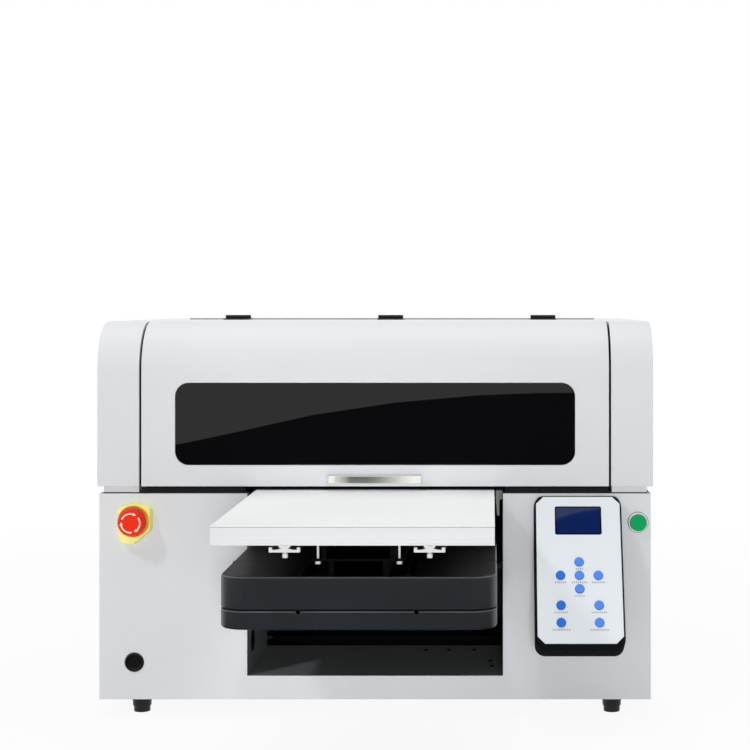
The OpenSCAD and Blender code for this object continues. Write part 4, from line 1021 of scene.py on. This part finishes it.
white = (1.0, 1.0, 1.0, 1.0)
paper, paper_shader, paper_place = new_finish("studio_paper", gloss=0.0)
paper_shader.inputs["Base Color"].default_value = rgb(242, 242, 242)
paper_shader.inputs["Roughness"].default_value = 0.9
paper_glow = paper_place.add("ShaderNodeEmission", None, {"Strength": 1.0})
far = paper_place.add("ShaderNodeMapRange", {"interpolation_type": "SMOOTHSTEP"}, {
    "Value": paper_place.vector("LENGTH", output="Value"), "From Min": 0.9, "From Max": 2.4, "To Min": 0.93,
    "To Max": 1.0})
mixed(paper_place, seen_rays(paper_place) * far, Shade(paper.node_tree, paper_shader.outputs[0]), paper_glow,
      "Material Output")
floor_half = 9.0
stage_sheet("floor", level_outline(-floor_half, floor_half, -floor_half, floor_half, 0), paper)

world = bpy.data.worlds.new("white_surround")
world.use_nodes = True
scene.world = world
surround = Shade(world.node_tree)
fill_light = world.node_tree.nodes["Background"]
fill_light.inputs["Color"].default_value = white
fill_light.inputs["Strength"].default_value = 0.15
seen_white = surround.add("ShaderNodeBackground", None, {"Color": white, "Strength": 1.0})
mixed(surround, seen_rays(surround), Shade(world.node_tree, fill_light.outputs[0]), seen_white,
      "World Output")


def aimed_lamp(name, kind, place, aim, watts, **settings):
    """A lamp that looks at a point and that gloss doesn't show."""
    lamp = bpy.data.lights.new(name, kind)
    lamp.energy = watts
    for setting, value in settings.items():
        setattr(lamp, setting, value)
    holder = placed(name, lamp)
    holder.location = place
    holder.rotation_euler = (Vector(aim) - Vector(place)).to_track_quat("-Z", "Y").to_euler()
    holder.visible_glossy = False


machine_middle = (0.0, 0.1, 0.3)
for name, place, size, watts in (("lamp_above", (0.0, 0.25, 2.7), 2.2, 41.0),
                                 ("lamp_left", (-1.9, -2.2, 2.9), 0.35, 26.0),
                                 ("lamp_front", (0.25, -4.2, 0.5), 0.8, 79.0),
                                 ("lamp_rear", (2.6, 3.0, 1.5), 1.2, 42.0)):
    aimed_lamp(name, "AREA", place, machine_middle, watts, shape="SQUARE", size=size)
table_aim = box_middle("table_sheet") + Vector((0.0, -0.08, 0.0))
shade_aim = (-0.02, front_y, 0.04)
for name, place, aim, cone, blend, watts in (("lamp_table", (0.0, -1.3, 2.2), table_aim, 14, 0.5, 33.0),
                                             ("lamp_low", (0.0, -2.6, 0.16), shade_aim, 12, 1.0, 48.0)):
    aimed_lamp(name, "SPOT", place, aim, watts, spot_size=math.radians(cone), spot_blend=blend,
               shadow_soft_size=0.05)

lens = bpy.data.cameras.new("camera")
lens.lens = 82.29
lens.sensor_width = 36.0
lens.shift_x = -0.156
lens.shift_y = -0.0933
camera = placed("camera", lens)
camera.location = (0.1637, front_y - 2.4, 0.577)
camera.rotation_euler = (math.pi / 2, 0.0, 0.0)
scene.camera = camera


def mirrored(place, normal, distance):
    """Where the camera looks by way of a mirror, so far beyond a place on it."""
    look = (place - camera.location).normalized()
    return place + (look - 2 * look.dot(normal) * normal) * distance


def black_flag(name, outline):
    """A black card that only reflections see."""
    felt, felt_shader, _ = new_finish(name + "_felt", gloss=0.0)
    felt_shader.inputs["Base Color"].default_value = (0.0, 0.0, 0.0, 1.0)
    stage_sheet(name, [tuple(corner) for corner in outline], felt, gloss_only=True)


pane_low, pane_high = corners("lid_window")
pane_size = pane_high - pane_low
pane_normal = Vector((0.0, -1.0, 0.0))
flag_reach = 3.0
flag_edge = ((-0.02, 0.24), (0.15, 0.40), (0.35, 0.60), (0.55, 0.735), (0.75, 0.815), (0.90, 0.84),
             (1.05, 0.845))
window_flag = [mirrored(pane_low + Vector((pane_size.x * x, 0.0, pane_size.z * z)), pane_normal, flag_reach)
               for x, z in flag_edge]
window_flag += [Vector((corner.x, corner.y, 0.01)) for corner in (window_flag[-1], window_flag[0])]
black_flag("window_flag", window_flag)
black_flag("floor_flag", level_outline(left=-1.5, right=2.4, near=front_y - 3.2, far=front_y - 0.02,
                                       height=0.004))

handle_middle = box_middle("lid_handle")
board_reach = 1.5
board_top = 0.7
board_bottom = 0.2
gap_height = 0.43
gap_degrees = 27
board_rim = []
for degrees in range(-80, 81, 5):
    turn = math.radians(degrees)
    board_rim.append((handle_middle.x + board_reach * math.sin(turn),
                      handle_middle.y - board_reach * math.cos(turn),
                      gap_height if abs(degrees) < gap_degrees else board_bottom))
board_steps = len(board_rim)
board_grey, _, board_place = new_finish("graded_board")
share = (board_place.part("X") - handle_middle.x) * (0.5 / board_reach) + 0.5
board_greys = ((0.27, 1.0), (0.297, 0.74), (0.330, 0.46), (0.348, 0.24), (0.368, 0.15), (0.44, 0.18),
               (0.47, 0.24), (0.522, 0.43), (0.553, 0.57), (0.587, 0.74), (0.640, 1.0))
board_ramp = board_place.add("ShaderNodeValToRGB", {"stops": [
    (position, (grey, grey, grey * 0.965, 1.0)) for position, grey in board_greys]}, {"Fac": share})
board_glow = board_place.add("ShaderNodeEmission", None, {"Color": board_ramp, "Strength": 1.0})
board_glow.feed(board_grey.node_tree.nodes["Material Output"], "Surface")
stage_sheet("graded_board", board_rim + [(x, y, board_top) for x, y, low in board_rim], board_grey,
            [(i, i + 1, i + board_steps + 1, i + board_steps) for i in range(board_steps - 1)],
            gloss_only=True)

display_reach = 1.6
display_edge = ((-1.6, -0.15), (-1.0, 0.12), (-0.3, 0.52), (0.4, 0.8), (1.2, 0.95), (4.0, 0.95), (4.0, -12.0),
                (-4.0, -12.0), (-4.0, -0.4))
black_flag("display_flag", [
    mirrored(glass_middle + Vector((x * glass_half_w, 0.0, 0.0)) + face_up * z * glass_half_h, face_out,
             display_reach) for x, z in display_edge])
